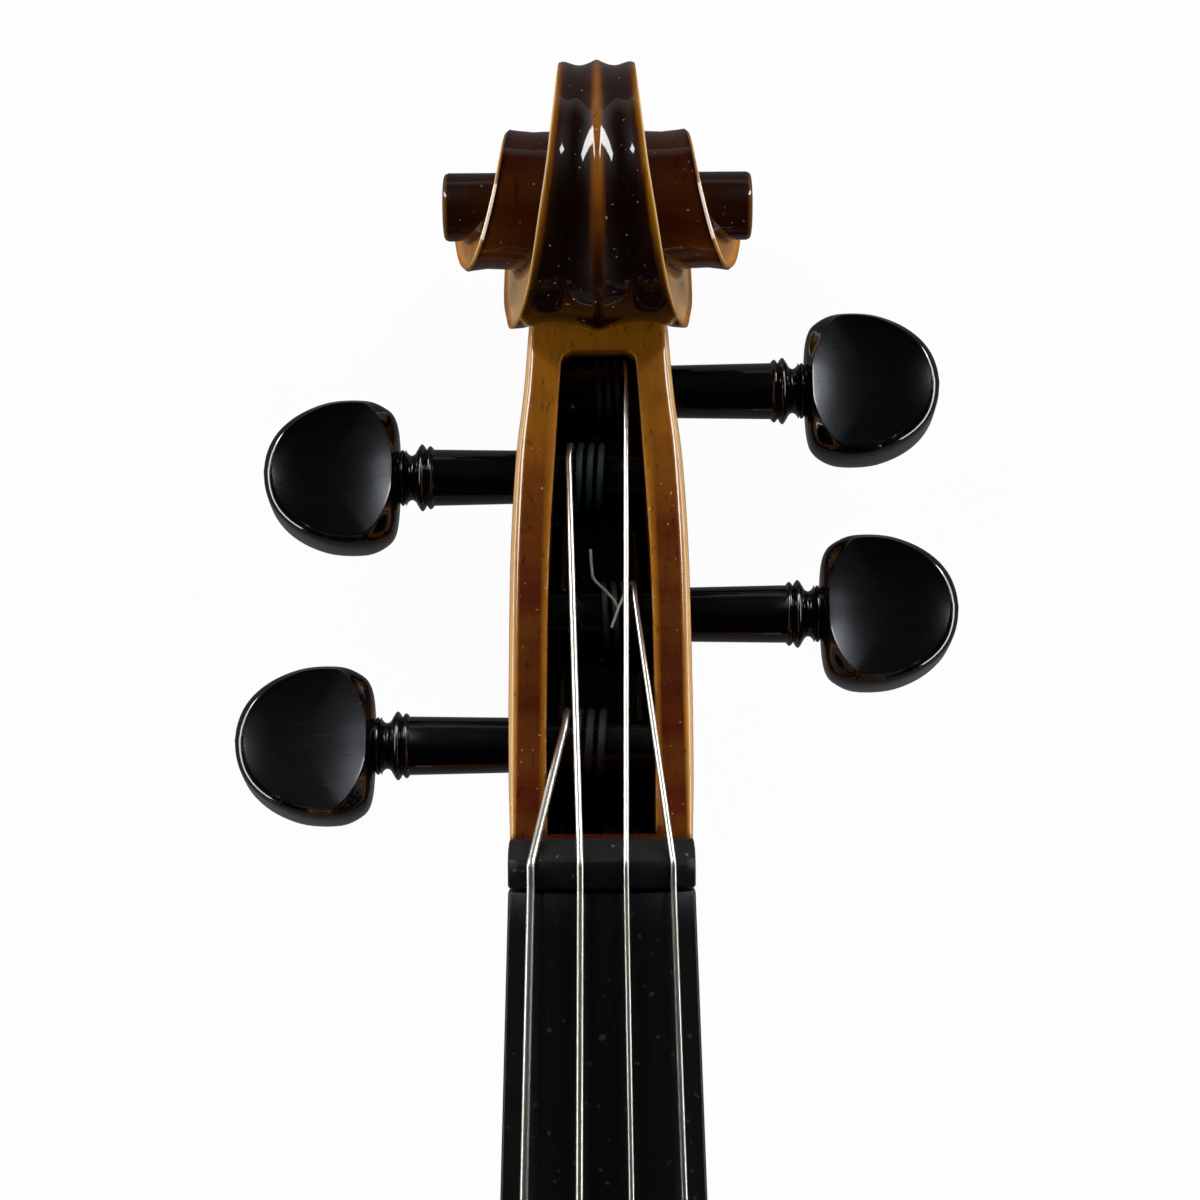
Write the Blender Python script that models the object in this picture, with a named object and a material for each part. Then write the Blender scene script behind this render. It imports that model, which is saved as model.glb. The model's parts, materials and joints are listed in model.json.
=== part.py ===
"""A viola lying on its back: +Z from back to strings, +Y from end button to scroll, +X to the treble side.

Sizes are in metres. The body's own y runs from 0 at its lower end, and one empty carries every piece to its
place in the world. The origin is under the middle of the whole length, on the surface that the back rests on.
"""

import math

import bmesh
import bpy
from mathutils import Matrix, Vector
from mathutils.bvhtree import BVHTree

GAP = 0.0003

# Body
BODY_LENGTH = 0.406
LOWER_HALF_WIDTH = 0.119
UPPER_HALF_WIDTH = 0.096
WAIST_HALF_WIDTH = 0.065
ARCH_HEIGHT = 0.0175
PLATE_THICKNESS = 0.0032
EDGE_THICKNESS = 0.0042
EDGE_OVERHANG = 0.0030
RIB_HEIGHT = 0.0370
RIB_THICKNESS = 0.0013
LINING_THICKNESS = 0.0020
LINING_HEIGHT = 0.0075
LINING_MARGIN = 0.0030
CORNER_BLOCK_DEPTH = 0.020
CORNER_BLOCK_START = 0.006
END_BLOCK_HALF_WIDTH = 0.027
END_BLOCK_DEPTH = 0.017
BUTTON_RADIUS = 0.0125
SPINE_SHARE = 0.72
F_HOLE_OFFSET = 0.0415
F_HOLE_TIP_HALF = 0.0012
F_HOLE_STEM_HALF = 0.0035
F_HOLE_UPPER_EYE = 0.0042
F_HOLE_LOWER_EYE = 0.0054
STOP_LENGTH = 0.221

# Neck, fingerboard and nut
NECK_LENGTH = 0.149
NECK_SLOPE = math.radians(6.8)
OVERSTAND = 0.008
HEEL_INSET = 0.006
HEEL_TOP_HALF_WIDTH = 0.0150
HEEL_FOOT_HALF_WIDTH = 0.0115
NECK_THICKNESS_NUT = 0.0130
NECK_THICKNESS_BODY = 0.0150
BOARD_LENGTH = 0.308
BOARD_HALF_WIDTH_NUT = 0.01275
BOARD_HALF_WIDTH_END = 0.0215
BOARD_EDGE_THICKNESS = 0.0050
BOARD_RADIUS = 0.042
NUT_LENGTH = 0.0068
NUT_RISE = 0.0007
NUT_CREST = 0.0034
NUT_BEVEL = 0.0036

# Head. Pegs: name, side of the thumb piece, place along the pegbox, and reach of the shaft and of the collar
PEGBOX_SLOPE = math.radians(16.5)
EYE_ALONG = 0.0910
EYE_ABOVE = 0.0070
EYE_RADIUS = 0.0046
PEG_STATIONS = (
    ("peg_c", -1, 0.0149, 0.0125, 0.0270),
    ("peg_a", 1, 0.0340, 0.0124, 0.0266),
    ("peg_g", -1, 0.0550, 0.0116, 0.0240),
    ("peg_d", 1, 0.0681, 0.0103, 0.0252),
)
PEG_AXIS_DEPTH = 0.0080
PEG_SHAFT_RADIUS = 0.0037
PEG_TAPER = 1 / 60
PEG_COLLAR_RADIUS = 0.0048
PEG_NECK_LENGTH = 0.0046
PEG_HEAD_LENGTH = 0.0200
PEG_HEAD_WIDTH = 0.0230
PEG_HEAD_THICKNESS = 0.0095
PEG_HEAD_DISH = 0.0011
PEG_HEAD_TILT = math.radians(18)

# Strings: name, diameter, x at the nut and at the bridge, height over the board's end, its peg, x where its
# turns on that peg start, and how many there are
STRINGS = (
    ("string_c", 0.00115, -0.0096, -0.0190, 0.0060, "peg_c", -0.0050, 3.2),
    ("string_g", 0.00095, -0.0029, -0.0060, 0.0056, "peg_g", -0.0044, 3.2),
    ("string_d", 0.00075, 0.0033, 0.0068, 0.0052, "peg_d", 0.0040, 3.2),
    ("string_a", 0.00085, 0.0097, 0.0194, 0.0045, "peg_a", 0.0050, 3.2),
)
LOOP_POINTS = 24
LEAST_TURN_GAP = 0.00060

# Tail end
BRIDGE_HALF_WIDTH = 0.0240
BRIDGE_FOOT_THICKNESS = 0.0048
BRIDGE_TOP_THICKNESS = 0.0018
STRING_AFTERLENGTH = 0.045
TAILPIECE_START = 0.012
TAILPIECE_THICKNESS = 0.0040
TAILPIECE_TOP_HALF_WIDTH = 0.0215
TAILPIECE_FOOT_HALF_WIDTH = 0.0105
TAILGUT_RADIUS = 0.0011
SADDLE_HALF_WIDTH = 0.0185
SADDLE_DEPTH = 0.0065
SADDLE_RISE = 0.0030
TAILPIECE_FOOT_RISE = 0.0190
TAILPIECE_TOP_RISE = 0.0430
TAILPIECE_RADIUS = 0.040
TAILPIECE_FRET_BACK = 0.0045
TAILPIECE_FRET_HEIGHT = 0.0014
STRING_HOLE_BACK = 0.0130
STRING_END_HOLE_RADIUS = 0.0015
STRING_TAIL_SHARE = 0.78
SOUND_POST_RADIUS = 0.0032
SOUND_POST_PLACE = (0.021, 0.022)
BASS_BAR_OFFSET = 0.0195
BASS_BAR_HALF_WIDTH = 0.0028
BASS_BAR_HEIGHT = 0.0110
BASS_BAR_REACH = 0.148

Z_BACK = ARCH_HEIGHT
Z_TOP = ARCH_HEIGHT + RIB_HEIGHT
Z_GLUE_BODY = Z_TOP + EDGE_THICKNESS + OVERSTAND
BRIDGE_Y = BODY_LENGTH - STOP_LENGTH
NUT_Y = BODY_LENGTH + NECK_LENGTH
TAILPIECE_LENGTH = BRIDGE_Y - STRING_AFTERLENGTH - TAILPIECE_START
TAILPIECE_FOOT_Z = Z_TOP + TAILPIECE_FOOT_RISE
TAILPIECE_TOP_Z = Z_TOP + TAILPIECE_TOP_RISE


# The scene, materials and mesh helpers
for old in list(bpy.data.objects):
    bpy.data.objects.remove(old)

CARRIER = bpy.data.objects.new("viola", None)
bpy.context.scene.collection.objects.link(CARRIER)


def material(name, color, roughness, metallic=0.0):
    made = bpy.data.materials.new(name)
    made.use_nodes = True
    shader = made.node_tree.nodes["Principled BSDF"]
    shader.inputs["Base Color"].default_value = (*color, 1)
    shader.inputs["Roughness"].default_value = roughness
    shader.inputs["Metallic"].default_value = metallic
    return made


MAPLE = material("varnished_maple", (0.28, 0.10, 0.025), 0.22)
SPRUCE = material("varnished_spruce", (0.42, 0.19, 0.05), 0.25)
PLAIN_WOOD = material("plain_spruce", (0.62, 0.47, 0.29), 0.7)
BRIDGE_MAPLE = material("bridge_maple", (0.70, 0.52, 0.30), 0.6)
EBONY = material("ebony", (0.012, 0.011, 0.011), 0.35)
STEEL = material("wound_steel", (0.62, 0.60, 0.57), 0.3, 1.0)
NYLON = material("black_nylon", (0.02, 0.02, 0.02), 0.5)


def place(name, mesh, look):
    """Makes the mesh an object of the given name, carried by the viola's empty."""
    made = bpy.data.objects.new(name, mesh)
    bpy.context.scene.collection.objects.link(made)
    made.data.materials.clear()
    made.data.materials.append(look)
    made.parent = CARRIER
    return made


def smooth(made, degrees=35):
    made.data.shade_smooth()
    made.data.set_sharp_from_angle(angle=math.radians(degrees))


def mesh_of(name, points, faces):
    mesh = bpy.data.meshes.new(name)
    mesh.from_pydata(points, [], faces)
    return outward(mesh)


def outward(mesh):
    """Welds points that coincide and turns every face outwards."""
    work = bmesh.new()
    work.from_mesh(mesh)
    bmesh.ops.remove_doubles(work, verts=work.verts, dist=1e-6)
    bmesh.ops.recalc_face_normals(work, faces=work.faces)
    if work.calc_volume(signed=True) < 0:
        bmesh.ops.reverse_faces(work, faces=work.faces)
    work.to_mesh(mesh)
    work.free()
    return mesh


def loft(name, rings):
    """A closed body through rings of equally many points, with a flat cap at each end."""
    size = len(rings[0])
    points = [point for ring in rings for point in ring]
    faces = [tuple(range(size)), tuple(range(len(points) - size, len(points)))]
    for row in range(len(rings) - 1):
        for i in range(size):
            a = row * size + i
            b = row * size + (i + 1) % size
            faces.append((a, b, b + size, a + size))
    return mesh_of(name, points, faces)


def turned(name, profile, sides):
    """A turned body about local X: profile is (x, radius) from one end to the other."""
    rings = []
    for x, radius in profile:
        ring = []
        for i in range(sides):
            turn = 2 * math.pi * i / sides
            ring.append((x, radius * math.cos(turn), radius * math.sin(turn)))
        rings.append(ring)
    return loft(name, rings)


def prism(name, outline, low, high):
    """An outline in x and y, stood up from one height to another."""
    return loft(name, [[(x, y, z) for x, y in outline] for z in (low, high)])


def boolean(made, cutter, operation):
    modifier = made.modifiers.new(operation.lower(), "BOOLEAN")
    modifier.operation = operation
    modifier.object = cutter
    cutter.hide_render = True
    cutter.display_type = "WIRE"
    cutter.hide_set(True)


def bezier(start, first, second, end, steps):
    """Points of a cubic curve, its end point left out."""
    found = []
    for i in range(steps):
        t = i / steps
        s = 1 - t
        weights = (s * s * s, 3 * s * s * t, 3 * s * t * t, t * t * t)
        corners = (start, first, second, end)
        found.append(tuple(sum(w * c[k] for w, c in zip(weights, corners)) for k in (0, 1)))
    return found


def mix(low, high, share):
    return low + (high - low) * share


# The outline of the body, treble half, from the lower end to the neck
WIDEST_LOWER = (LOWER_HALF_WIDTH, 0.217 * BODY_LENGTH)
WIDEST_UPPER = (UPPER_HALF_WIDTH, 0.815 * BODY_LENGTH)
WAIST = (WAIST_HALF_WIDTH, 0.530 * BODY_LENGTH)
LOWER_CORNER = (
    (LOWER_HALF_WIDTH - 0.0125, 0.3805 * BODY_LENGTH),
    (LOWER_HALF_WIDTH - 0.0155, 0.3953 * BODY_LENGTH),
)
UPPER_CORNER = (
    (UPPER_HALF_WIDTH - 0.0115, 0.6318 * BODY_LENGTH),
    (UPPER_HALF_WIDTH - 0.0075, 0.6453 * BODY_LENGTH),
)


def lower_bout(steps=6):
    across, up = WIDEST_LOWER
    tip = LOWER_CORNER[0]
    bend = (tip[0] - 0.0070, tip[1] - 0.0165)
    line = bezier((0, 0), (0.56 * across, 0), (across, 0.42 * up), (across, up), steps + 2)
    line += bezier((across, up), (across, up + 0.024), (bend[0] + 0.0020, bend[1] - 0.016), bend, steps - 2)
    line += bezier(bend, (bend[0] - 0.0005, bend[1] + 0.006), (tip[0] - 0.0045, tip[1] - 0.004), tip, 3)
    return line + [tip]


def middle_bout(steps=5):
    low = LOWER_CORNER[1]
    high = UPPER_CORNER[0]
    across, up = WAIST
    narrow = (across, up)
    line = bezier(low, (low[0] - 0.0110, low[1] - 0.002), (across + 0.0010, up - 0.045), narrow, steps + 1)
    line += bezier(narrow, (across - 0.0005, up + 0.021), (high[0] - 0.0115, high[1] - 0.0045), high, steps)
    return line + [high]


def upper_bout(steps=6):
    tip = UPPER_CORNER[1]
    across, up = WIDEST_UPPER
    bend = (tip[0] - 0.0055, tip[1] + 0.0190)
    line = bezier(tip, (tip[0] - 0.0045, tip[1] + 0.004), (bend[0] - 0.0010, bend[1] - 0.009), bend, 3)
    line += bezier(bend, (bend[0] + 0.0015, bend[1] + 0.015), (across, up - 0.025), (across, up), steps - 2)
    crown = (0, BODY_LENGTH)
    line += bezier((across, up), (across, up + 0.042), (0.58 * across, BODY_LENGTH), crown, steps + 2)
    return line + [(0, BODY_LENGTH)]


def half_outline():
    return lower_bout() + middle_bout() + upper_bout()


def inset(line, distance):
    """A copy of an open line of the treble half, moved square to itself towards the inside of the body."""
    moved = []
    for i, (x, y) in enumerate(line):
        before = Vector(line[max(i - 1, 0)])
        after = Vector(line[min(i + 1, len(line) - 1)])
        along = (after - before).normalized()
        moved.append((x - along.y * distance, y + along.x * distance))
    return moved


def trimmed(line, start, end):
    """The stretch of a line that is left when these lengths are cut from its two ends."""
    lengths = [0]
    for a, b in zip(line, line[1:]):
        lengths.append(lengths[-1] + math.dist(a, b))
    total = lengths[-1]

    def at(place):
        for i in range(len(line) - 1):
            if place <= lengths[i + 1]:
                share = (place - lengths[i]) / (lengths[i + 1] - lengths[i])
                return tuple(mix(p, q, share) for p, q in zip(line[i], line[i + 1]))
        return line[-1]

    inner = [p for p, place in zip(line, lengths) if start + 0.001 < place < total - end - 0.001]
    return [at(start)] + inner + [at(total - end)]


# The plates
def rise(share):
    """The arch's height over its edge, from 1 on the spine to 0 at the channel by the edge."""
    if share >= 0.92:
        return 0.0
    return (0.5 * (1 + math.cos(math.pi * share / 0.92))) ** 0.62


OUTER_RINGS = (1.0, 0.92, 0.76, 0.56, 0.34, 0.13, 0.0)
INNER_RINGS = (1.0, 0.90, 0.58, 0.0)
FLAT_RING = 0.13


def plate(name):
    """One arched plate, its glue face on z = 0 and its arch towards +Z, as half a plate and its mirror."""
    outline = half_outline()
    middle = BODY_LENGTH / 2
    points = []
    for rings, deep in ((OUTER_RINGS, 0.0), (INNER_RINGS, PLATE_THICKNESS)):
        for share in rings:
            crown = rise(0 if share <= FLAT_RING else share)
            top = EDGE_THICKNESS + (ARCH_HEIGHT - EDGE_THICKNESS) * crown
            height = max(0.0, top - deep)
            if deep and share >= 0.9:
                height = 0.0
            for x, y in outline:
                spine = middle + (y - middle) * SPINE_SHARE
                points.append((x * share, mix(spine, y, share), height))
    size = len(outline)
    rim = len(OUTER_RINGS) * size
    faces = []
    for first, rows in ((0, len(OUTER_RINGS)), (rim, len(INNER_RINGS))):
        for row in range(rows - 1):
            for i in range(size - 1):
                a = first + row * size + i
                faces.append((a, a + 1, a + size + 1, a + size))
    for i in range(size - 1):
        faces.append((i, i + 1, rim + i + 1, rim + i))
    work = bmesh.new()
    made = bpy.data.meshes.new(name)
    made.from_pydata(points, [], faces)
    work.from_mesh(made)
    whole = work.verts[:] + work.edges[:] + work.faces[:]
    copy = bmesh.ops.duplicate(work, geom=whole)["geom"]
    for vert in copy:
        if isinstance(vert, bmesh.types.BMVert):
            vert.co.x = -vert.co.x
    bmesh.ops.remove_doubles(work, verts=work.verts, dist=1e-6)
    bmesh.ops.dissolve_degenerate(work, edges=work.edges, dist=1e-7)
    work.to_mesh(made)
    work.free()
    return outward(made)


def plate_surface(mesh):
    """Looks up the heights where an upright line meets a plate's mesh."""
    work = bmesh.new()
    work.from_mesh(mesh)
    tree = BVHTree.FromBMesh(work)
    work.free()

    def outer(x, y):
        return tree.ray_cast(Vector((x, y, 1)), Vector((0, 0, -1)))[0].z

    def inner(x, y):
        return tree.ray_cast(Vector((x, y, -1)), Vector((0, 0, 1)))[0].z

    return outer, inner


def f_hole(side):
    """The outline of one f-hole: two round eyes joined by a stem whose width swells to its middle."""
    centre = (side * F_HOLE_OFFSET, BRIDGE_Y + 0.003)
    spine = bezier((-0.0135, 0.0320), (-0.0125, 0.0440), (-0.0005, 0.0435), (-0.0010, 0.0260), 6)
    spine += bezier((-0.0010, 0.0260), (-0.0013, 0.0120), (0.0013, -0.0120), (0.0020, -0.0260), 4)
    spine += bezier((0.0020, -0.0260), (0.0030, -0.0450), (0.0150, -0.0460), (0.0170, -0.0320), 6)
    spine += [(0.0170, -0.0320)]
    left = []
    right = []
    for i, (x, y) in enumerate(spine):
        share = i / (len(spine) - 1)
        half = F_HOLE_TIP_HALF + (F_HOLE_STEM_HALF - F_HOLE_TIP_HALF) * math.sin(math.pi * share) ** 1.5
        before = Vector(spine[max(i - 1, 0)])
        after = Vector(spine[min(i + 1, len(spine) - 1)])
        along = (after - before).normalized()
        left.append((x - along.y * half, y + along.x * half))
        right.append((x + along.y * half, y - along.x * half))
    stem = left + right[::-1]
    eyes = [(-0.0135, 0.0300, F_HOLE_UPPER_EYE), (0.0172, -0.0296, F_HOLE_LOWER_EYE)]
    shapes = [[(centre[0] + side * x, centre[1] + y) for x, y in stem]]
    for x, y, radius in eyes:
        turn = [2 * math.pi * i / 14 for i in range(14)]
        across = centre[0] + side * x
        up = centre[1] + y
        ring = [(across + side * radius * math.cos(a), up + radius * math.sin(a)) for a in turn]
        shapes.append(ring)
    return shapes


def make_plates():
    arch = plate("top_plate")
    arch.transform(Matrix.Translation((0, 0, Z_TOP)))
    outer, inner = plate_surface(arch)
    top = place("top_plate", arch, SPRUCE)
    for side, name in ((-1, "bass"), (1, "treble")):
        for index, shape in enumerate(f_hole(side)):
            mesh = prism("f_hole", shape, Z_TOP - 0.01, Z_TOP + 0.03)
            boolean(top, place(f"cut_f_{name}_{index}", mesh, SPRUCE), "DIFFERENCE")
    wide = HEEL_TOP_HALF_WIDTH + GAP
    front = BODY_LENGTH - HEEL_INSET - GAP
    notch = [(-wide, front), (wide, front), (wide, BODY_LENGTH + 0.01), (-wide, BODY_LENGTH + 0.01)]
    cutter = prism("notch", notch, Z_TOP - 0.01, Z_TOP + 0.03)
    boolean(top, place("cut_neck_notch", cutter, SPRUCE), "DIFFERENCE")
    wide = SADDLE_HALF_WIDTH + GAP
    deep = SADDLE_DEPTH + GAP
    notch = [(-wide, -0.01), (wide, -0.01), (wide, deep), (-wide, deep)]
    cutter = prism("notch", notch, Z_TOP - 0.01, Z_TOP + 0.03)
    boolean(top, place("cut_saddle_notch", cutter, SPRUCE), "DIFFERENCE")
    smooth(top)

    arch = plate("back_plate")
    arch.transform(Matrix.Diagonal((1, 1, -1, 1)))
    arch.transform(Matrix.Translation((0, 0, Z_BACK)))
    outward(arch)
    back_inner = plate_surface(arch)[0]
    back = place("back_plate", arch, MAPLE)
    ring = []
    for i in range(13):
        turn = math.pi * i / 12
        ring.append((BUTTON_RADIUS * math.cos(turn), BODY_LENGTH - 0.001 + BUTTON_RADIUS * math.sin(turn)))
    ring += [(-BUTTON_RADIUS, BODY_LENGTH - 0.008), (BUTTON_RADIUS, BODY_LENGTH - 0.008)]
    button = prism("button", ring, Z_BACK - EDGE_THICKNESS + 0.0006, Z_BACK - 0.0002)
    boolean(back, place("add_button", button, MAPLE), "UNION")
    smooth(back)
    return outer, inner, back_inner


def strip(name, line, thickness, low, high, look, side):
    """An upright strip along a line, its thickness towards the inside of the body."""
    rings = []
    for (x, y), (p, q) in zip(line, inset(line, thickness)):
        rings.append([(side * x, y, low), (side * p, q, low), (side * p, q, high), (side * x, y, high)])
    made = place(name, loft(name, rings), look)
    smooth(made)


def corner_block(name, first, second, low, high, side):
    """A block that fills the corner between two ribs: first runs into the corner, and second out of it."""
    into = trimmed(inset(first, EDGE_OVERHANG + RIB_THICKNESS + GAP), 0, CORNER_BLOCK_START)
    out = trimmed(inset(second, EDGE_OVERHANG + RIB_THICKNESS + GAP), CORNER_BLOCK_START, 0)
    into = trimmed(into, sum(math.dist(a, b) for a, b in zip(into, into[1:])) - CORNER_BLOCK_DEPTH, 0)
    out = trimmed(out, 0, sum(math.dist(a, b) for a, b in zip(out, out[1:])) - CORNER_BLOCK_DEPTH)
    outline = [(side * x, y) for x, y in into + out]
    place(name, prism(name, outline, low, high), PLAIN_WOOD)


def make_ribs():
    low = Z_BACK + GAP
    high = Z_TOP - GAP
    bouts = {"lower": lower_bout(), "middle": middle_bout(), "upper": upper_bout()}
    by_heel = HEEL_TOP_HALF_WIDTH + 3 * GAP
    cuts = {"lower": (1.5 * GAP, 0.006), "middle": (0.006, 0.006), "upper": (0.006, by_heel)}
    beside = END_BLOCK_HALF_WIDTH + LINING_MARGIN
    corner = CORNER_BLOCK_START + CORNER_BLOCK_DEPTH + LINING_MARGIN
    block_ends = {"lower": (beside, corner), "middle": (corner, corner), "upper": (corner, beside)}
    for side, hand in ((-1, "bass"), (1, "treble")):
        for bout, line in bouts.items():
            start, end = cuts[bout]
            rib = trimmed(inset(line, EDGE_OVERHANG), start, end)
            strip(f"rib_{bout}_{hand}", rib, RIB_THICKNESS, low, high, MAPLE, side)
            start, end = block_ends[bout]
            inside = trimmed(inset(line, EDGE_OVERHANG + RIB_THICKNESS + GAP), start, end)
            heights = {"back": (low, low + LINING_HEIGHT), "top": (high - LINING_HEIGHT, high)}
            for edge, (bottom, top) in heights.items():
                strip(f"lining_{edge}_{bout}_{hand}", inside, LINING_THICKNESS, bottom, top, PLAIN_WOOD, side)
        corner_block(f"corner_block_lower_{hand}", bouts["lower"], bouts["middle"], low, high, side)
        corner_block(f"corner_block_upper_{hand}", bouts["middle"], bouts["upper"], low, high, side)
    for name, line, deep in (
        ("end_block", bouts["lower"], END_BLOCK_DEPTH),
        ("neck_block", bouts["upper"][::-1], BODY_LENGTH - END_BLOCK_DEPTH - 0.004),
    ):
        toward = 1 if name == "end_block" else -1
        near = inset(line, toward * (EDGE_OVERHANG + RIB_THICKNESS + 2 * GAP))
        inner = [(x, y) for x, y in near if x < END_BLOCK_HALF_WIDTH - 0.001]
        half = [p for p in inner if p[0] > 0.001] or [(0.001, inner[-1][1])]
        edge = [p for p in near if p[0] >= END_BLOCK_HALF_WIDTH][0]
        share = (END_BLOCK_HALF_WIDTH - half[-1][0]) / (edge[0] - half[-1][0])
        half.append((END_BLOCK_HALF_WIDTH, mix(half[-1][1], edge[1], share)))
        limit = BODY_LENGTH - HEEL_INSET - GAP
        if toward < 0:
            half = [(x, min(y, limit)) for x, y in half]
        outline = [(-x, y) for x, y in half[::-1]] + half
        outline += [(END_BLOCK_HALF_WIDTH, deep), (-END_BLOCK_HALF_WIDTH, deep)]
        place(name, prism(name, outline, low, high), PLAIN_WOOD)


def make_bar_and_post(inner, back_inner):
    rings = []
    steps = 14
    for i in range(steps + 1):
        y = BODY_LENGTH / 2 - 0.004 + BASS_BAR_REACH * (2 * i / steps - 1)
        top = min(inner(-BASS_BAR_OFFSET - dx, y) for dx in (-BASS_BAR_HALF_WIDTH, BASS_BAR_HALF_WIDTH)) - GAP
        deep = 0.0035 + (BASS_BAR_HEIGHT - 0.0035) * math.cos(math.pi * (i / steps - 0.5)) ** 0.8
        left = -BASS_BAR_OFFSET - BASS_BAR_HALF_WIDTH
        right = -BASS_BAR_OFFSET + BASS_BAR_HALF_WIDTH
        rings.append([(left, y, top), (right, y, top), (right, y, top - deep), (left, y, top - deep)])
    place("bass_bar", loft("bass_bar", rings), PLAIN_WOOD)

    x, behind = SOUND_POST_PLACE
    y = BRIDGE_Y - behind
    sides = ((1, 0), (-1, 0), (0, 1), (0, -1))
    spots = [(x + SOUND_POST_RADIUS * a, y + SOUND_POST_RADIUS * b) for a, b in sides]
    top = min(inner(*spot) for spot in spots) - GAP
    low = max(back_inner(*spot) for spot in spots) + GAP
    post = turned("sound_post", [(low, SOUND_POST_RADIUS), (top, SOUND_POST_RADIUS)], 16)
    post.transform(Matrix.Rotation(-math.pi / 2, 4, "Y"))
    made = place("sound_post", post, PLAIN_WOOD)
    made.location = (x, y, 0)
    smooth(made)


# The neck, pegbox and scroll
def glue_plane(y):
    """Height of the neck's flat top, which carries the fingerboard."""
    return Z_GLUE_BODY - math.tan(NECK_SLOPE) * (y - BODY_LENGTH)


HEAD_START = (NUT_Y + NUT_LENGTH, glue_plane(NUT_Y + NUT_LENGTH) + 0.0004)


def head(x, along, above):
    """A point of the head: along its pegbox's front face from the nut, and above that face."""
    y = HEAD_START[0] + along * math.cos(PEGBOX_SLOPE) + above * math.sin(PEGBOX_SLOPE)
    z = HEAD_START[1] - along * math.sin(PEGBOX_SLOPE) + above * math.cos(PEGBOX_SLOPE)
    return (x, y, z)


def section(half_top, half_low, depth, squareness, carry, steps=10):
    """A flat-topped cross section, its underside from a half ellipse to a rounded box as it gets squarer."""
    ring = []
    for i in range(steps + 1):
        turn = math.pi * i / steps
        across = math.copysign(abs(math.cos(turn)) ** squareness, math.cos(turn))
        down = math.sin(turn) ** squareness
        ring.append(carry(across * mix(half_top, half_low, down), -down * depth))
    return ring


def along_neck(y):
    return lambda x, up: (x, y, glue_plane(y) + up)


def across_head(along, drop=0.0):
    return lambda x, up: head(x, along, up - drop)


def board_half_width(y):
    return mix(BOARD_HALF_WIDTH_NUT, BOARD_HALF_WIDTH_END, (NUT_Y - y) / BOARD_LENGTH)


PEGBOX_SECTIONS = (
    (0.0020, 0.0, 0.0127, 0.0245),
    (0.0080, 0.0, 0.0128, 0.0270),
    (0.0200, 0.0, 0.0129, 0.0262),
    (0.0400, 0.0, 0.0127, 0.0230),
    (0.0550, 0.0, 0.0120, 0.0196),
    (0.0660, 0.0, 0.0108, 0.0170),
    (0.0740, 0.0, 0.0098, 0.0161),
    (0.0755, 0.0012, 0.0096, 0.0148),
    (0.0768, 0.0035, 0.0094, 0.0125),
    (0.0790, 0.0062, 0.0091, 0.0099),
    (0.0825, 0.0084, 0.0087, 0.0079),
    (0.0875, 0.0090, 0.0080, 0.0077),
)


def neck_body():
    rings = []
    foot_end = BODY_LENGTH + BUTTON_RADIUS - 0.0020
    shaft = BODY_LENGTH + 0.040
    foot = Z_BACK + GAP
    heel_start = BODY_LENGTH - HEEL_INSET
    heel = [heel_start, foot_end] + [mix(foot_end, shaft, share) for share in (0.12, 0.28, 0.48, 0.72, 1.0)]
    for y in heel:
        share = max(0.0, (y - foot_end) / (shaft - foot_end))
        low = mix(foot, glue_plane(shaft) - NECK_THICKNESS_BODY, 1 - (1 - share) ** 2.6)
        wide = min(HEEL_TOP_HALF_WIDTH, board_half_width(y))
        narrow = mix(HEEL_FOOT_HALF_WIDTH, wide * 0.9, share)
        rings.append(section(wide, narrow, glue_plane(y) - low, mix(0.62, 0.9, share), along_neck(y)))
    for y, thickness in ((BODY_LENGTH + 0.090, 0.0138), (NUT_Y - 0.008, NECK_THICKNESS_NUT), (NUT_Y, 0.0148)):
        wide = min(HEEL_TOP_HALF_WIDTH, board_half_width(y))
        rings.append(section(wide, wide * 0.92, thickness, 0.88, along_neck(y)))
    rings.append(section(0.0126, 0.0120, 0.0185, 0.66, along_neck(NUT_Y + 0.0045)))
    for along, drop, half, depth in PEGBOX_SECTIONS:
        rings.append(section(half, half * 0.92, depth, 0.34, across_head(along, drop)))
    return loft("neck_and_scroll", rings)


def through(stops, place):
    """A smooth curve's value between listed stops, (place, value), with level ends."""
    for i in range(len(stops) - 1):
        if place <= stops[i + 1][0] or i == len(stops) - 2:
            break
    (a, p), (b, q) = stops[i], stops[i + 1]
    before = stops[max(i - 1, 0)]
    after = stops[min(i + 2, len(stops) - 1)]
    t = (place - a) / (b - a)
    lean = (q - before[1]) / (b - before[0]) * (b - a)
    lead = (after[1] - p) / (after[0] - a) * (b - a)
    t2 = t * t
    t3 = t2 * t
    return (2 * t3 - 3 * t2 + 1) * p + (t3 - 2 * t2 + t) * lean + (3 * t2 - 2 * t3) * q + (t3 - t2) * lead


# Turn in degrees from the scroll's top over its front, with the ribbon's radius and half width there
SCROLL_RADII = (
    (-120, 0.0248), (-90, 0.0239), (0, 0.0219), (90, 0.0200), (180, 0.0179), (270, 0.0140),
    (360, 0.0114), (450, 0.0105), (540, 0.0096), (630, 0.0069), (720, 0.0046),
)
SCROLL_WIDTHS = (
    (-120, 0.0092), (-90, 0.0082), (0, 0.0055), (90, 0.0078), (180, 0.0129), (270, 0.0137),
    (360, 0.0129), (450, 0.0146), (540, 0.0187), (630, 0.0206), (720, 0.0220),
)
SCROLL_STEP = 15
SCROLL_START = -120
SCROLL_END = 720
SCROLL_CHAMFER = 0.0006
SCROLL_DISH = 0.0009
FLUTE_DEPTH = 0.0011


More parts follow.
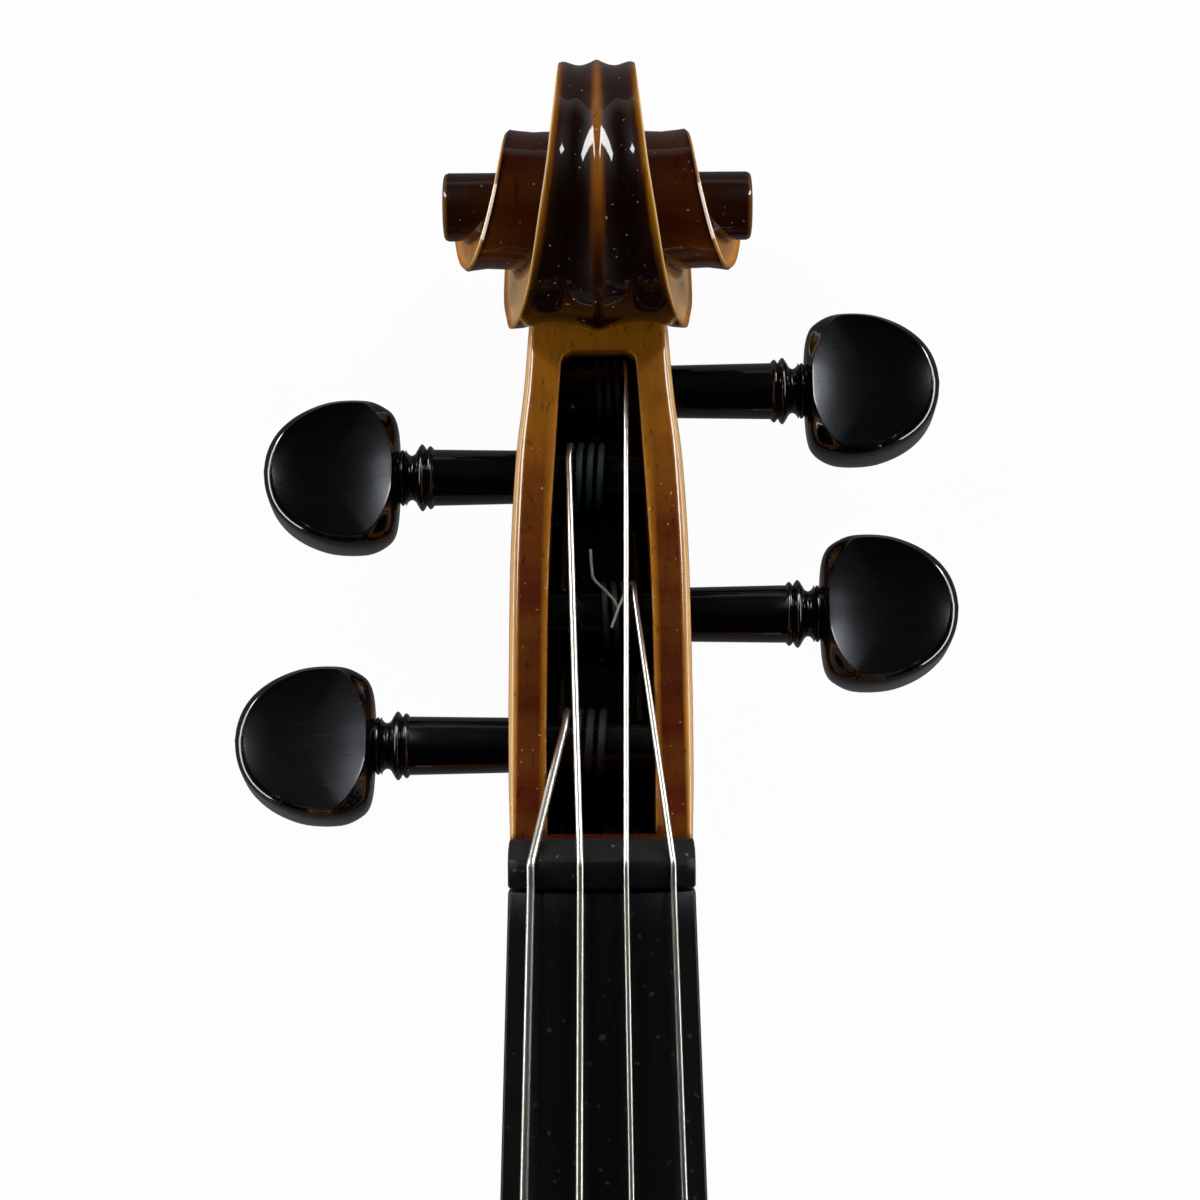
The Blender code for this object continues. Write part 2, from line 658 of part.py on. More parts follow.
def scroll_body():
    """The scroll: a ribbon wound in about its eye, wider at every turn, closed behind the throat."""
    points = []
    faces = []
    found = {}

    def vert(key, turn, radius, x):
        if key not in found:
            angle = math.radians(turn)
            found[key] = len(points)
            points.append(head(x, EYE_ALONG + radius * math.cos(angle), EYE_ABOVE + radius * math.sin(angle)))
        return found[key]

    def radius(turn):
        return through(SCROLL_RADII, turn)

    def width(turn):
        return through(SCROLL_WIDTHS, turn)

    def floor(turn):
        return width(turn) - SCROLL_DISH * min(1.0, (SCROLL_END - turn) / 180)

    joined = SCROLL_START + 360
    last_turn = SCROLL_END - 360
    eye = EYE_RADIUS - SCROLL_CHAMFER

    def edge(turn, side):
        return vert(("edge", turn, side), turn, radius(turn), side * (width(turn) - SCROLL_CHAMFER))

    def chamfer(turn, side):
        return vert(("chamfer", turn, side), turn, radius(turn) - SCROLL_CHAMFER, side * width(turn))

    def valley(turn, side):
        return vert(("valley", turn, side), turn, radius(turn) - FLUTE_DEPTH, side * width(turn) * 0.5)

    def ridge(turn):
        return vert(("ridge", turn), turn, radius(turn), 0)

    def base(turn, side):
        return vert(("base", turn, side), turn, radius(turn), side * floor(turn - 360))

    def eye_foot(turn, side):
        if turn == SCROLL_END:
            return eye_rim(last_turn, side)
        return vert(("foot", turn, side), turn, eye, side * floor(turn))

    def eye_rim(turn, side):
        return vert(("rim", turn, side), turn, eye, side * width(SCROLL_END))

    turns = list(range(SCROLL_START, SCROLL_END, SCROLL_STEP))
    for side in (-1, 1):
        for turn in turns:
            after = turn + SCROLL_STEP
            faces.append((edge(turn, side), edge(after, side), chamfer(after, side), chamfer(turn, side)))
            if after <= last_turn:
                inner = (base(after + 360, side), base(turn + 360, side))
            elif turn == last_turn:
                inner = (eye_foot(after, side), eye_foot(turn, side), base(SCROLL_END, side))
            else:
                inner = (eye_foot(after, side), eye_foot(turn, side))
            faces.append((chamfer(turn, side), chamfer(after, side), *inner))
            if turn >= joined:
                faces.append((base(turn, side), base(after, side), edge(after, side), edge(turn, side)))
            elif after == joined:
                strip_end = (edge(after, side), base(after, side), valley(after, side))
                faces.append((valley(turn, side), edge(turn, side), *strip_end))
            else:
                faces.append((valley(turn, side), edge(turn, side), edge(after, side), valley(after, side)))
            if turn < joined:
                faces.append((ridge(turn), valley(turn, side), valley(after, side), ridge(after)))
            if turn >= last_turn:
                rims = (eye_rim(turn, side), eye_rim(after if after < SCROLL_END else last_turn, side))
                corners = (eye_foot(turn, side), eye_foot(after, side), rims[1], rims[0])
                faces.append(tuple(dict.fromkeys(corners)))
        end = SCROLL_END
        last_face = (base(end, side), edge(end, side), chamfer(end, side))
        faces.append((*last_face, eye_rim(last_turn, side), eye_foot(last_turn, side)))
        faces.append(tuple(eye_rim(turn, side) for turn in turns if turn >= last_turn))
    rear = []
    start = SCROLL_START
    for side in (1, -1):
        half = [ridge(start), valley(start, side), edge(start, side), chamfer(start, side)]
        half += [base(joined, side), valley(joined, side), ridge(joined)]
        rear.append(tuple(half))
    faces += rear
    return mesh_of("scroll", points, faces)


PEGS_REACH_DOWN = PEG_AXIS_DEPTH + PEG_SHAFT_RADIUS
LAST_PEG_FRONT = PEG_STATIONS[3][2] + PEG_SHAFT_RADIUS
CAVITY_SECTIONS = (
    (0.0003, 0.0075, 0.0170, 0.0),
    (0.0150, 0.0076, 0.0190, 0.0),
    (0.0400, 0.0072, 0.0175, 0.0),
    (0.0600, 0.0061, PEGS_REACH_DOWN + 0.0035, 0.0012),
    (LAST_PEG_FRONT - 0.0002, 0.0053, PEGS_REACH_DOWN + 0.0018, 0.0032),
)
CAVITY_ROUNDING = 0.0020


def cavity_body():
    rings = []
    for along, half, deep, lean in CAVITY_SECTIONS:
        low = -deep
        ring = [(-half, 0.004), (half, 0.004), (half * 0.94, low + CAVITY_ROUNDING)]
        ring += [(half * 0.94 - CAVITY_ROUNDING, low), (CAVITY_ROUNDING - half * 0.94, low)]
        ring += [(-half * 0.94, low + CAVITY_ROUNDING)]
        rings.append([head(x, along - lean * up / deep, up) for x, up in ring])
    return loft("cut_pegbox", rings)


def peg_radius(place):
    """The shaft's radius at a distance from the collar's side of the pegbox's middle, towards the collar."""
    return PEG_SHAFT_RADIUS + PEG_TAPER * place


def make_neck():
    neck = place("neck_and_scroll", neck_body(), MAPLE)
    boolean(neck, place("add_scroll", scroll_body(), MAPLE), "UNION")
    boolean(neck, place("cut_pegbox", cavity_body(), MAPLE), "DIFFERENCE")
    for name, side, along, _, _ in PEG_STATIONS:
        bore = turned("bore", [(-0.018, peg_radius(-0.018) + GAP), (0.018, peg_radius(0.018) + GAP)], 20)
        if side < 0:
            bore.transform(Matrix.Rotation(math.pi, 4, "Z"))
        cutter = place("cut_" + name, bore, MAPLE)
        cutter.location = head(0, along, -PEG_AXIS_DEPTH)
        boolean(neck, cutter, "DIFFERENCE")
    smooth(neck)


# Ebony fittings
def board_top(x, y):
    """Height of the fingerboard's arched top over the neck's glue plane at y, also past its two ends."""
    half = board_half_width(y)
    arch = math.sqrt(BOARD_RADIUS**2 - x * x) - math.sqrt(BOARD_RADIUS**2 - half * half)
    return glue_plane(y) + BOARD_EDGE_THICKNESS + arch


def arched_ring(y, half, low, top, steps=8):
    ring = [(-half, y, low), (half, y, low)]
    for i in range(steps + 1):
        x = half * (1 - 2 * i / steps)
        ring.append((x, y, top(x)))
    return ring


def make_board_and_nut():
    rings = []
    for y in (NUT_Y - BOARD_LENGTH, NUT_Y - GAP):
        half = board_half_width(y)
        rings.append(arched_ring(y, half, glue_plane(y) + GAP, lambda x, y=y: board_top(x, y)))
    smooth(place("fingerboard", loft("fingerboard", rings), EBONY))
    rings = []
    for back, drop in ((0, 0), (NUT_CREST, 0.0002), (NUT_LENGTH - 2 * GAP, NUT_BEVEL)):
        y = NUT_Y + GAP + back
        low = glue_plane(y) + GAP
        rise_here = NUT_RISE - drop
        top = lambda x, r=rise_here: board_top(x, NUT_Y) + r
        rings.append(arched_ring(y, BOARD_HALF_WIDTH_NUT, low, top))
    smooth(place("nut", loft("nut", rings), EBONY))


def make_saddle():
    rings = []
    low = Z_TOP + GAP
    high = Z_TOP + EDGE_THICKNESS + SADDLE_RISE
    for share in (-1, -0.72, -0.4, 0.4, 0.72, 1):
        x = SADDLE_HALF_WIDTH * share
        top = high - 0.0018 * max(0, abs(share) - 0.4) / 0.6
        front = 0.0002
        ring = [(x, front, low), (x, front, top - 0.0022), (x, front + 0.0012, top - 0.0005)]
        ring += [(x, front + 0.003, top), (x, SADDLE_DEPTH, top - 0.0012), (x, SADDLE_DEPTH, low)]
        rings.append(ring)
    smooth(place("saddle", loft("saddle", rings), EBONY), 50)


END_BUTTON_Z = Z_BACK + RIB_HEIGHT / 2
END_BUTTON_PROFILE = (
    (0.0140, 0.0033), (0.0027, 0.0036), (0.0026, 0.0060), (0.0014, 0.0060), (0.0004, 0.0048),
    (-0.0030, 0.0048), (-0.0038, 0.0070), (-0.0052, 0.0076), (-0.0070, 0.0074), (-0.0086, 0.0064),
    (-0.0094, 0.0048),
)


def make_end_button():
    mesh = turned("end_button", END_BUTTON_PROFILE, 24)
    mesh.transform(Matrix.Rotation(math.pi / 2, 4, "Z"))
    button = place("end_button", mesh, EBONY)
    button.location = (0, 0, END_BUTTON_Z)
    smooth(button)
    bore = turned("bore", [(-0.002, 0.0036 + GAP), (0.0145, 0.0033 + GAP)], 24)
    bore.transform(Matrix.Rotation(math.pi / 2, 4, "Z"))
    cutter = place("cut_end_button", bore, EBONY)
    cutter.location = (0, 0, END_BUTTON_Z)
    for name in ("end_block", "rib_lower_bass", "rib_lower_treble"):
        boolean(bpy.data.objects[name], cutter, "DIFFERENCE")


def tailpiece_height(y):
    """Height of the tailpiece's arched top along its middle."""
    share = (y - TAILPIECE_START) / TAILPIECE_LENGTH
    return mix(TAILPIECE_FOOT_Z, TAILPIECE_TOP_Z, share)


def tailpiece_half(y):
    share = (y - TAILPIECE_START) / TAILPIECE_LENGTH
    return mix(TAILPIECE_FOOT_HALF_WIDTH, TAILPIECE_TOP_HALF_WIDTH, share**0.9)


def tailpiece_top(x, y):
    return tailpiece_height(y) - x * x / (2 * TAILPIECE_RADIUS)


def make_tailpiece():
    rings = []
    last = TAILPIECE_START + TAILPIECE_LENGTH
    shape = ((0.0, 0.80), (0.03, 1.0), (0.5, 1.0), (0.955, 1.0), (0.985, 0.93), (1.0, 0.80))
    for share, narrow in shape:
        y = mix(TAILPIECE_START, last, share)
        half = tailpiece_half(y) * narrow
        low = tailpiece_top(half, y) - TAILPIECE_THICKNESS
        rings.append(arched_ring(y, half, low, lambda x, y=y: tailpiece_top(x, y)))
    tailpiece = place("tailpiece", loft("tailpiece", rings), EBONY)
    for name, _, _, bridge_x, *_ in STRINGS:
        x, y = string_hole(bridge_x)
        hole = turned("hole", [(-0.02, STRING_END_HOLE_RADIUS), (0.02, STRING_END_HOLE_RADIUS)], 12)
        hole.transform(Matrix.Rotation(math.pi / 2, 4, "Y"))
        cutter = place("cut_" + name, hole, EBONY)
        cutter.location = (x, y, tailpiece_height(y))
        boolean(tailpiece, cutter, "DIFFERENCE")
    smooth(tailpiece)
    y = last - TAILPIECE_FRET_BACK
    half = tailpiece_half(y) - 0.002
    rings = []
    high = TAILPIECE_FRET_HEIGHT
    for back, up in ((-0.0012, 0.0003), (-0.0005, high), (0.0005, high), (0.0012, 0.0003)):
        ring = []
        for i in range(9):
            x = half * (1 - 2 * i / 8)
            ring.append((x, y + back, tailpiece_top(x, y + back) + GAP + up))
        for i in range(9):
            x = half * (2 * i / 8 - 1)
            ring.append((x, y + back, tailpiece_top(x, y + back) + GAP))
        rings.append(ring)
    place("tailpiece_fret", loft("tailpiece_fret", rings), EBONY)


def string_hole(bridge_x):
    return bridge_x * STRING_TAIL_SHARE, TAILPIECE_START + TAILPIECE_LENGTH - STRING_HOLE_BACK


def tube(name, route, radius, look, resolution):
    """A round cord along a route of points, closed at both ends."""
    curve = bpy.data.curves.new(name, "CURVE")
    curve.dimensions = "3D"
    spline = curve.splines.new("POLY")
    spline.points.add(len(route) - 1)
    for point, spot in zip(spline.points, route):
        point.co = (*spot, 1)
    curve.bevel_depth = radius
    curve.bevel_resolution = resolution
    curve.use_fill_caps = True
    curve.materials.append(look)
    made = bpy.data.objects.new(name, curve)
    bpy.context.scene.collection.objects.link(made)
    made.parent = CARRIER
    return made


def make_tailgut():
    over = Z_TOP + EDGE_THICKNESS + SADDLE_RISE + TAILGUT_RADIUS + GAP
    start = TAILPIECE_START - GAP
    low = tailpiece_top(0.0045, TAILPIECE_START) - 0.0030
    round_button = 0.0048 + TAILGUT_RADIUS + GAP
    half = [(0.0045, start, low), (0.0048, start - 0.003, low - 0.0002), (0.0052, 0.0050, over + 0.0002)]
    half += [(0.0054, 0.0026, over + 0.0001), (0.0056, -0.0002, over - 0.0012)]
    half += [(0.0058, -0.0015, over - 0.0045)]
    half += [(0.0062, -0.0016, END_BUTTON_Z + 0.012), (round_button + 0.0001, -0.0016, END_BUTTON_Z + 0.002)]
    turns = [math.radians(a) for a in range(-15, -171, -25)]
    under = [(round_button * math.cos(a), -0.0016, END_BUTTON_Z + round_button * math.sin(a)) for a in turns]
    mirrored = [(-x, y, z) for x, y, z in half[::-1]]
    tube("tailgut", half + under + mirrored, TAILGUT_RADIUS, NYLON, 2)


# The strings, their bridge and the pegs
def string_place(name):
    """Points where a string bears: bridge top, the nut's front edge and its crest by the pegbox."""
    _, diameter, nut_x, bridge_x, clearance, *_ = next(row for row in STRINGS if row[0] == name)
    lift = diameter / 2 + GAP
    front = Vector((nut_x, NUT_Y + GAP, board_top(nut_x, NUT_Y) + NUT_RISE + lift))
    crest = Vector((nut_x, NUT_Y + GAP + NUT_CREST, front.z - 0.0001))
    board_end = NUT_Y - BOARD_LENGTH
    share = (board_end - front.y) / (BRIDGE_Y - front.y)
    x = mix(nut_x, bridge_x, share)
    height = board_top(x, board_end) + clearance
    bridge = Vector((bridge_x, BRIDGE_Y, front.z + (height - front.z) / share + GAP))
    return bridge, front, crest, lift


def make_bridge(belly):
    half_foot = BRIDGE_FOOT_THICKNESS / 2

    def foot(x):
        return max(belly(x, BRIDGE_Y + dy) for dy in (-half_foot, 0, half_foot)) + GAP

    base = belly(0, BRIDGE_Y)
    tops = []
    for name, *_ in STRINGS:
        bridge, _, _, lift = string_place(name)
        tops.append((bridge.x, bridge.z - lift))
    wide = BRIDGE_HALF_WIDTH
    shape = [(0.0, 0.0100), (0.0075, 0.0085), (0.0125, 0.0045)]
    right = [(x, base + z) for x, z in shape]
    right += [(0.0135, foot(0.0135)), (0.0187, foot(0.0187)), (wide, foot(wide))]
    knee = ((0.0, -0.0018), (-0.0045, 0.0012), (-0.0062, 0.0048), (-0.0050, 0.0078), (-0.0024, 0.0098))
    right += [(wide + x, base + 0.0015 + z) for x, z in knee]
    notch = ((-0.0020, 0.0128), (-0.0075, 0.0118), (-0.0125, 0.0135), (-0.0135, 0.0170), (-0.0115, 0.0205))
    right += [(wide + x, base + z + 0.0012) for x, z in notch]
    right += [(wide - 0.0070, base + 0.0222), (wide - 0.0030, base + 0.0225), (wide - 0.0022, base + 0.0262)]
    right += [(tops[3][0] + 0.0026, tops[3][1] - 0.0022)]
    left = [(-x, z) for x, z in right[1:-1]][::-1]
    left.insert(0, (tops[0][0] - 0.0026, tops[0][1] - 0.0022))
    crown = [tops[3], tops[2], tops[1], tops[0]]
    outline = right + crown + left
    top = max(z for _, z in tops)
    rings = []
    for front in (-1, 1):
        ring = []
        for x, z in outline:
            share = min(1, max(0, (z - base) / (top - base)))
            thick = mix(BRIDGE_FOOT_THICKNESS, BRIDGE_TOP_THICKNESS, share)
            ring.append((x, BRIDGE_Y + front * thick / 2, z))
        rings.append(ring)
    bridge = place("bridge", loft("bridge", rings), BRIDGE_MAPLE)
    heart = [(0, 0.0185), (0.0042, 0.0225), (0.0040, 0.0262), (0.0016, 0.0272), (0, 0.0258)]
    heart += [(-x, z) for x, z in heart[1:4]][::-1]
    rings = [[(x, BRIDGE_Y + y, base + z) for x, z in heart] for y in (-0.01, 0.01)]
    boolean(bridge, place("cut_heart", loft("heart", rings), BRIDGE_MAPLE), "DIFFERENCE")


def string_route(row):
    name, diameter, nut_x, bridge_x, clearance, peg, lane, loops = row
    bridge, front, crest, lift = string_place(name)
    hole_x, hole_y = string_hole(bridge_x)
    fret_y = TAILPIECE_START + TAILPIECE_LENGTH - TAILPIECE_FRET_BACK
    fret_x = mix(hole_x, bridge_x, 0.12)
    fret = Vector((fret_x, fret_y, tailpiece_top(fret_x, fret_y) + TAILPIECE_FRET_HEIGHT + GAP + lift))
    bend = Vector((hole_x, hole_y + 0.0008, tailpiece_top(hole_x, hole_y) + 0.0006))
    end = Vector((hole_x, hole_y, tailpiece_top(hole_x, hole_y) - 0.0020))
    route = [end, bend, fret, bridge, front, crest]
    _, side, along, _, _ = next(station for station in PEG_STATIONS if station[0] == peg)
    centre = Vector(head(0, along, -PEG_AXIS_DEPTH))
    winding = peg_radius(side * lane) + lift
    away = Vector((centre.y - crest.y, centre.z - crest.z))
    reach = away.length
    start = math.atan2(-away.y, -away.x) - math.acos(winding / reach)
    pitch = diameter + LEAST_TURN_GAP
    steps = round(loops * LOOP_POINTS)
    least = 1
    coil = []
    for i in range(steps + 1):
        turn = start - 2 * math.pi * i / LOOP_POINTS
        x = lane - side * pitch * i / LOOP_POINTS
        radius = peg_radius(side * x) + lift
        coil.append(Vector((x, centre.y + radius * math.cos(turn), centre.z + radius * math.sin(turn))))
    for i, a in enumerate(coil):
        for b in coil[i + LOOP_POINTS // 2 :]:
            least = min(least, (a - b).length - diameter)
    print(f"{name}: turns lie {least * 1000:.2f} mm apart on the peg")
    return route + coil


def peg_head(start):
    """The flattened oval thumb piece, dished on both faces and fuller towards its neck."""
    rings = []
    middle = start + PEG_HEAD_LENGTH / 2
    levels = ((-0.5, 0.50, PEG_HEAD_DISH), (-0.5, 0.84, 0.0), (-0.30, 0.98, 0.0), (0.0, 1.0, 0.0))
    levels += ((0.30, 0.98, 0.0), (0.5, 0.84, 0.0), (0.5, 0.50, -PEG_HEAD_DISH))
    for level, scale, dish in levels:
        ring = []
        for i in range(16):
            turn = 2 * math.pi * i / 16
            x = middle + scale * PEG_HEAD_LENGTH / 2 * math.cos(turn)
            y = scale * PEG_HEAD_WIDTH / 2 * math.sin(turn) * (1 - 0.14 * math.cos(turn))
            ring.append((x, y, level * PEG_HEAD_THICKNESS + dish))
        rings.append(ring)
    return loft("peg_head", rings)


def make_peg(name, side, along, tip, collar):
    ring = PEG_COLLAR_RADIUS
    neck = collar + PEG_NECK_LENGTH
    profile = [(-tip, peg_radius(-tip)), (collar, peg_radius(collar)), (collar + 0.0001, ring - 0.0004)]
    profile += [(collar + 0.0005, ring - 0.0001), (collar + 0.0010, ring - 0.0006)]
    profile += [(collar + 0.0014, ring - 0.0001)]
    profile += [(collar + 0.0020, ring), (collar + 0.0026, ring - 0.0008), (collar + 0.0034, 0.0031)]
    profile += [(collar + 0.0040, 0.0034), (neck + 0.0030, 0.0036), (neck + 0.0060, 0.0030)]
    mesh = turned(name, profile, 16)
    peg = place(name, mesh, EBONY)
    facing = Matrix.Identity(4) if side > 0 else Matrix.Rotation(math.pi, 4, "Z")
    turn = Matrix.Rotation(-PEG_HEAD_TILT, 4, "X")
    where = Matrix.Translation(head(0, along, -PEG_AXIS_DEPTH)) @ turn @ facing
    peg.matrix_basis = where
    thumb = place("add_" + name, peg_head(neck), EBONY)
    thumb.matrix_basis = where
    boolean(peg, thumb, "UNION")
    smooth(peg, 40)


def scroll_reach():
    """How far the scroll's outermost turn reaches along the body's own y."""
    turns = range(SCROLL_START, 180, SCROLL_STEP)
    reach = []
    for turn in turns:
        radius = through(SCROLL_RADII, turn)
        angle = math.radians(turn)
        reach.append(head(0, EYE_ALONG + radius * math.cos(angle), EYE_ABOVE + radius * math.sin(angle))[1])
    return max(reach)


belly_outer, belly_inner, back_inner_height = make_plates()
make_ribs()
make_bar_and_post(belly_inner, back_inner_height)
make_neck()
make_board_and_nut()
make_saddle()
make_end_button()
make_tailpiece()
make_tailgut()
make_bridge(belly_outer)
for string in STRINGS:
    tube(string[0], string_route(string), string[1] / 2, STEEL, 1)
for station in PEG_STATIONS:
    make_peg(*station)
CARRIER.location = (0, -(scroll_reach() + END_BUTTON_PROFILE[-1][0]) / 2, 0)
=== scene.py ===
# %% [markdown]
# # A viola, piece by piece
# The viola lies on its back: +Z goes up through its strings, +Y runs from the end button to the scroll, and
# +X is the treble side. The packed frame holds every piece at its true size. It could be shown as it is, but
# its facets are coarse, so most pieces are modelled again here, finer, in the same place. Every length is in
# metres.

import json
import math
import random

import bmesh
import bpy
import numpy as np
from mathutils import Matrix, Vector
from mathutils.bvhtree import BVHTree
from mathutils.kdtree import KDTree

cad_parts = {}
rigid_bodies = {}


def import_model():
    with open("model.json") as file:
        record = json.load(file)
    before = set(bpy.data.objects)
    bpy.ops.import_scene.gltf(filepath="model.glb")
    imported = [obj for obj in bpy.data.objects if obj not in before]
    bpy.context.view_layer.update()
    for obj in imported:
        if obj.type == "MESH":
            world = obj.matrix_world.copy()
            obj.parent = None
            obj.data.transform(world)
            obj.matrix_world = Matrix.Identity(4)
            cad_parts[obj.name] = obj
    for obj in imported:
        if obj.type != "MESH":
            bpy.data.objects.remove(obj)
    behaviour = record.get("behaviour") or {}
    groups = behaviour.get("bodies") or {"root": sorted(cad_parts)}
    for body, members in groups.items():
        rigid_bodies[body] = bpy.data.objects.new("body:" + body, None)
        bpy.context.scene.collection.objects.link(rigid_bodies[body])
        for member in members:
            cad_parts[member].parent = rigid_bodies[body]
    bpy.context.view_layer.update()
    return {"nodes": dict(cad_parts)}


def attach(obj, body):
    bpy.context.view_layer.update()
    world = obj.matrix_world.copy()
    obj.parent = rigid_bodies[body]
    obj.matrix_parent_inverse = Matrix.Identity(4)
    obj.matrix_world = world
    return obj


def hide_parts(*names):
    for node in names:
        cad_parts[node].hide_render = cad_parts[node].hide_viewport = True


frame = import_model()
for leftover in [o for o in bpy.data.objects if o.name in ("Cube", "Camera", "Light")]:
    bpy.data.objects.remove(leftover)

# %% [markdown]
# ## The camera
# A portrait of a viola's head is taken from straight above the strings with a long lens, so the pegs' heads
# stay true. The camera could be aimed at an object with a constraint. Two numbers are enough here, because it
# looks straight down: how far up it hangs, and how much of the neck it takes in. The hand that held the
# instrument was a third of a degree off the upright, so the camera turns by that much.

# %% Camera
CAMERA_SPOT = (0.0, 0.2627, 0.450)
LENS = 87.5
CAMERA_TURN = math.radians(-0.37)

scene = bpy.context.scene
camera = bpy.data.objects.new("camera", bpy.data.cameras.new("camera"))
scene.collection.objects.link(camera)
camera.location = CAMERA_SPOT
camera.rotation_euler = (0, 0, CAMERA_TURN)
camera.data.lens = LENS
camera.data.sensor_width = 36
camera.data.clip_start = 0.01
scene.camera = camera
scene.view_settings.view_transform = "Standard"
print("camera sees", round(CAMERA_SPOT[2] * 36 / LENS * 1000), "mm of the floor")

# %% [markdown]
# ## Sums on wires
# A material in Blender is a net of nodes. Drawing every node by hand hides the idea behind it, so one small
# class stands for the wire that comes out of a node. Adding, taking away and multiplying wires in Python adds
# the Math nodes that do so in the shader, and `node` makes every other kind of node.

# %% The Wire class
class Wire:
    """What comes out of one socket of a material's node tree."""

    def __init__(self, tree, socket=None):
        self.tree = tree
        self.socket = socket

    def node(self, kind, settings=None, inputs=None, out=0):
        made = self.tree.nodes.new("ShaderNode" + kind)
        for name, value in (settings or {}).items():
            if name == "stops":
                set_stops(made.color_ramp, value)
            else:
                setattr(made, name, value)
        for key, value in (inputs or {}).items():
            socket = made.inputs[key]
            if isinstance(value, Wire):
                self.tree.links.new(value.socket, socket)
            elif socket.type == "RGBA":
                socket.default_value = (*value[:3], 1)
            else:
                socket.default_value = value
        return Wire(self.tree, made.outputs[out] if made.outputs else None)

    def math(self, operation, *values):
        return self.node("Math", {"operation": operation}, dict(enumerate(values)))

    def __add__(self, other):
        return self.math("ADD", self, other)

    def __sub__(self, other):
        return self.math("SUBTRACT", self, other)

    def __mul__(self, other):
        return self.math("MULTIPLY", self, other)

    def __rsub__(self, other):
        return self.math("SUBTRACT", other, self)

    def __pow__(self, other):
        return self.math("POWER", self, other)

    __radd__ = __add__
    __rmul__ = __mul__

    def spread(self, low, high, to_low=0.0, to_high=1.0):
        """Carries low..high to to_low..to_high and stops at both ends."""
        numbers = {"Value": self, "From Min": low, "From Max": high, "To Min": to_low, "To Max": to_high}
        return self.node("MapRange", None, numbers)

    def blend(self, first, second):
        """The first colour where this wire is 0 and the second where it is 1."""
        return self.node("Mix", {"data_type": "RGBA"}, {0: self, 6: first, 7: second}, 2)


def set_stops(ramp, stops):
    while len(ramp.elements) < len(stops):
        ramp.elements.new(1)
    for element, (place, color) in zip(ramp.elements, stops):
        element.position = place
        element.color = (*color, 1)


def fresh_material(name):
    """A new material without nodes, and a wire to build them on."""
    made = bpy.data.materials.new(name)
    made.use_nodes = True
    made.node_tree.nodes.clear()
    return made, Wire(made.node_tree)


def surface(start, shader):
    start.node("OutputMaterial", None, {0: shader})


print("wires ready:", Wire.__doc__)

# %% [markdown]
# ## Floor and light
# In a studio the white behind an instrument is a lit paper sweep. Here the floor gives the camera its white
# by itself and still takes a faint shadow, so no extra light has to fall on the varnish. Varnish and ebony
# are seen mostly by what they mirror: two long soft boxes at the sides draw the bright edges, a smaller one
# beyond the scroll makes the highlights on its flutes, and above the strings it stays dark, which keeps the
# black wood black.

# %% Floor and lamps
FLOOR_WHITE = 0.86


def make_floor():
    look, start = fresh_material("studio_floor")
    straight = start.node("LightPath", out="Is Camera Ray")
    mirrored = start.node("LightPath", out="Is Glossy Ray")
    passed = start.node("LightPath", out="Is Transmission Ray")
    seen = start.math("MINIMUM", straight + mirrored * 0.08 + passed, 1.0)
    paper = start.node("BsdfDiffuse", None, {"Color": (0.25, 0.25, 0.25)})
    dim = start.node("BsdfDiffuse", None, {"Color": (0.03, 0.03, 0.03)})
    paper = start.node("MixShader", None, {0: mirrored, 1: paper, 2: dim})
    white = start.node("Emission", None, {"Color": (1, 1, 1), "Strength": 1.11})
    surface(start, start.node("MixShader", None, {0: seen * FLOOR_WHITE, 1: paper, 2: white}))
    mesh = bpy.data.meshes.new("floor")
    reach = 4.0
    corners = [(-reach, -reach, 0), (reach, -reach, 0), (reach, reach, 0), (-reach, reach, 0)]
    mesh.from_pydata(corners, [], [(0, 1, 2, 3)])
    floor = bpy.data.objects.new("floor", mesh)
    floor.location.z = -0.0004
    mesh.materials.append(look)
    scene.collection.objects.link(floor)


def soft_box(name, spot, aim, size, power):
    lamp = bpy.data.lights.new(name, "AREA")
    lamp.shape = "RECTANGLE"
    lamp.size, lamp.size_y = size
    lamp.energy = power
    made = bpy.data.objects.new(name, lamp)
    made.location = spot
    made.rotation_euler = (Vector(aim) - Vector(spot)).to_track_quat("-Z", "Y").to_euler()
    scene.collection.objects.link(made)
    return made


make_floor()
HEAD_MIDDLE = (0, 0.27, 0.03)
for side, name in ((-1, "left"), (1, "right")):
    soft_box(name + "_key", (side * 0.62, 0.86, 0.36), HEAD_MIDDLE, (0.12, 0.72), 4.8)
    soft_box(name + "_strip", (side * 0.80, 0.20, 0.14), (0, 0.20, 0.03), (1.6, 0.13), 6.0)
    fill = soft_box(name + "_fill", (side * 0.55, -0.25, 0.75), HEAD_MIDDLE, (0.6, 0.5), 3.4)
    fill.visible_glossy = False

world = bpy.data.worlds.new("studio")
world.use_nodes = True
scene.world = world
world.node_tree.nodes.clear()
air = Wire(world.node_tree)
direct = air.node("LightPath", out="Is Camera Ray")
passed = air.node("LightPath", out="Is Transmission Ray")
way = air.node("TexCoord", out="Generated")
ahead = air.node("SeparateXYZ", None, {0: way}, 1).spread(-0.1, 0.5)
sky = ahead * air.node("SeparateXYZ", None, {0: way}, 2).spread(0.02, 0.30, 0.45, 0.015)
strength = air.math("MAXIMUM", direct + passed, sky)
glow = air.node("Background", None, {0: (1, 1, 1), 1: strength})
air.node("OutputWorld", None, {0: glow})

# %% [markdown]
# ## Colours
# Paint codes are written for the eye, and a shader adds up light, so each code is turned into amounts of
# light once, here.

# %% Paint codes
def paint(code):
    """Linear red, green and blue of a code such as '9a5a1c'."""
    found = []
    for i in (0, 2, 4):
        share = int(code[i : i + 2], 16) / 255
        found.append(share / 12.92 if share <= 0.04045 else ((share + 0.055) / 1.055) ** 2.4)
    return tuple(found)


print("amber is", [round(c, 3) for c in paint("9a5a1c")])

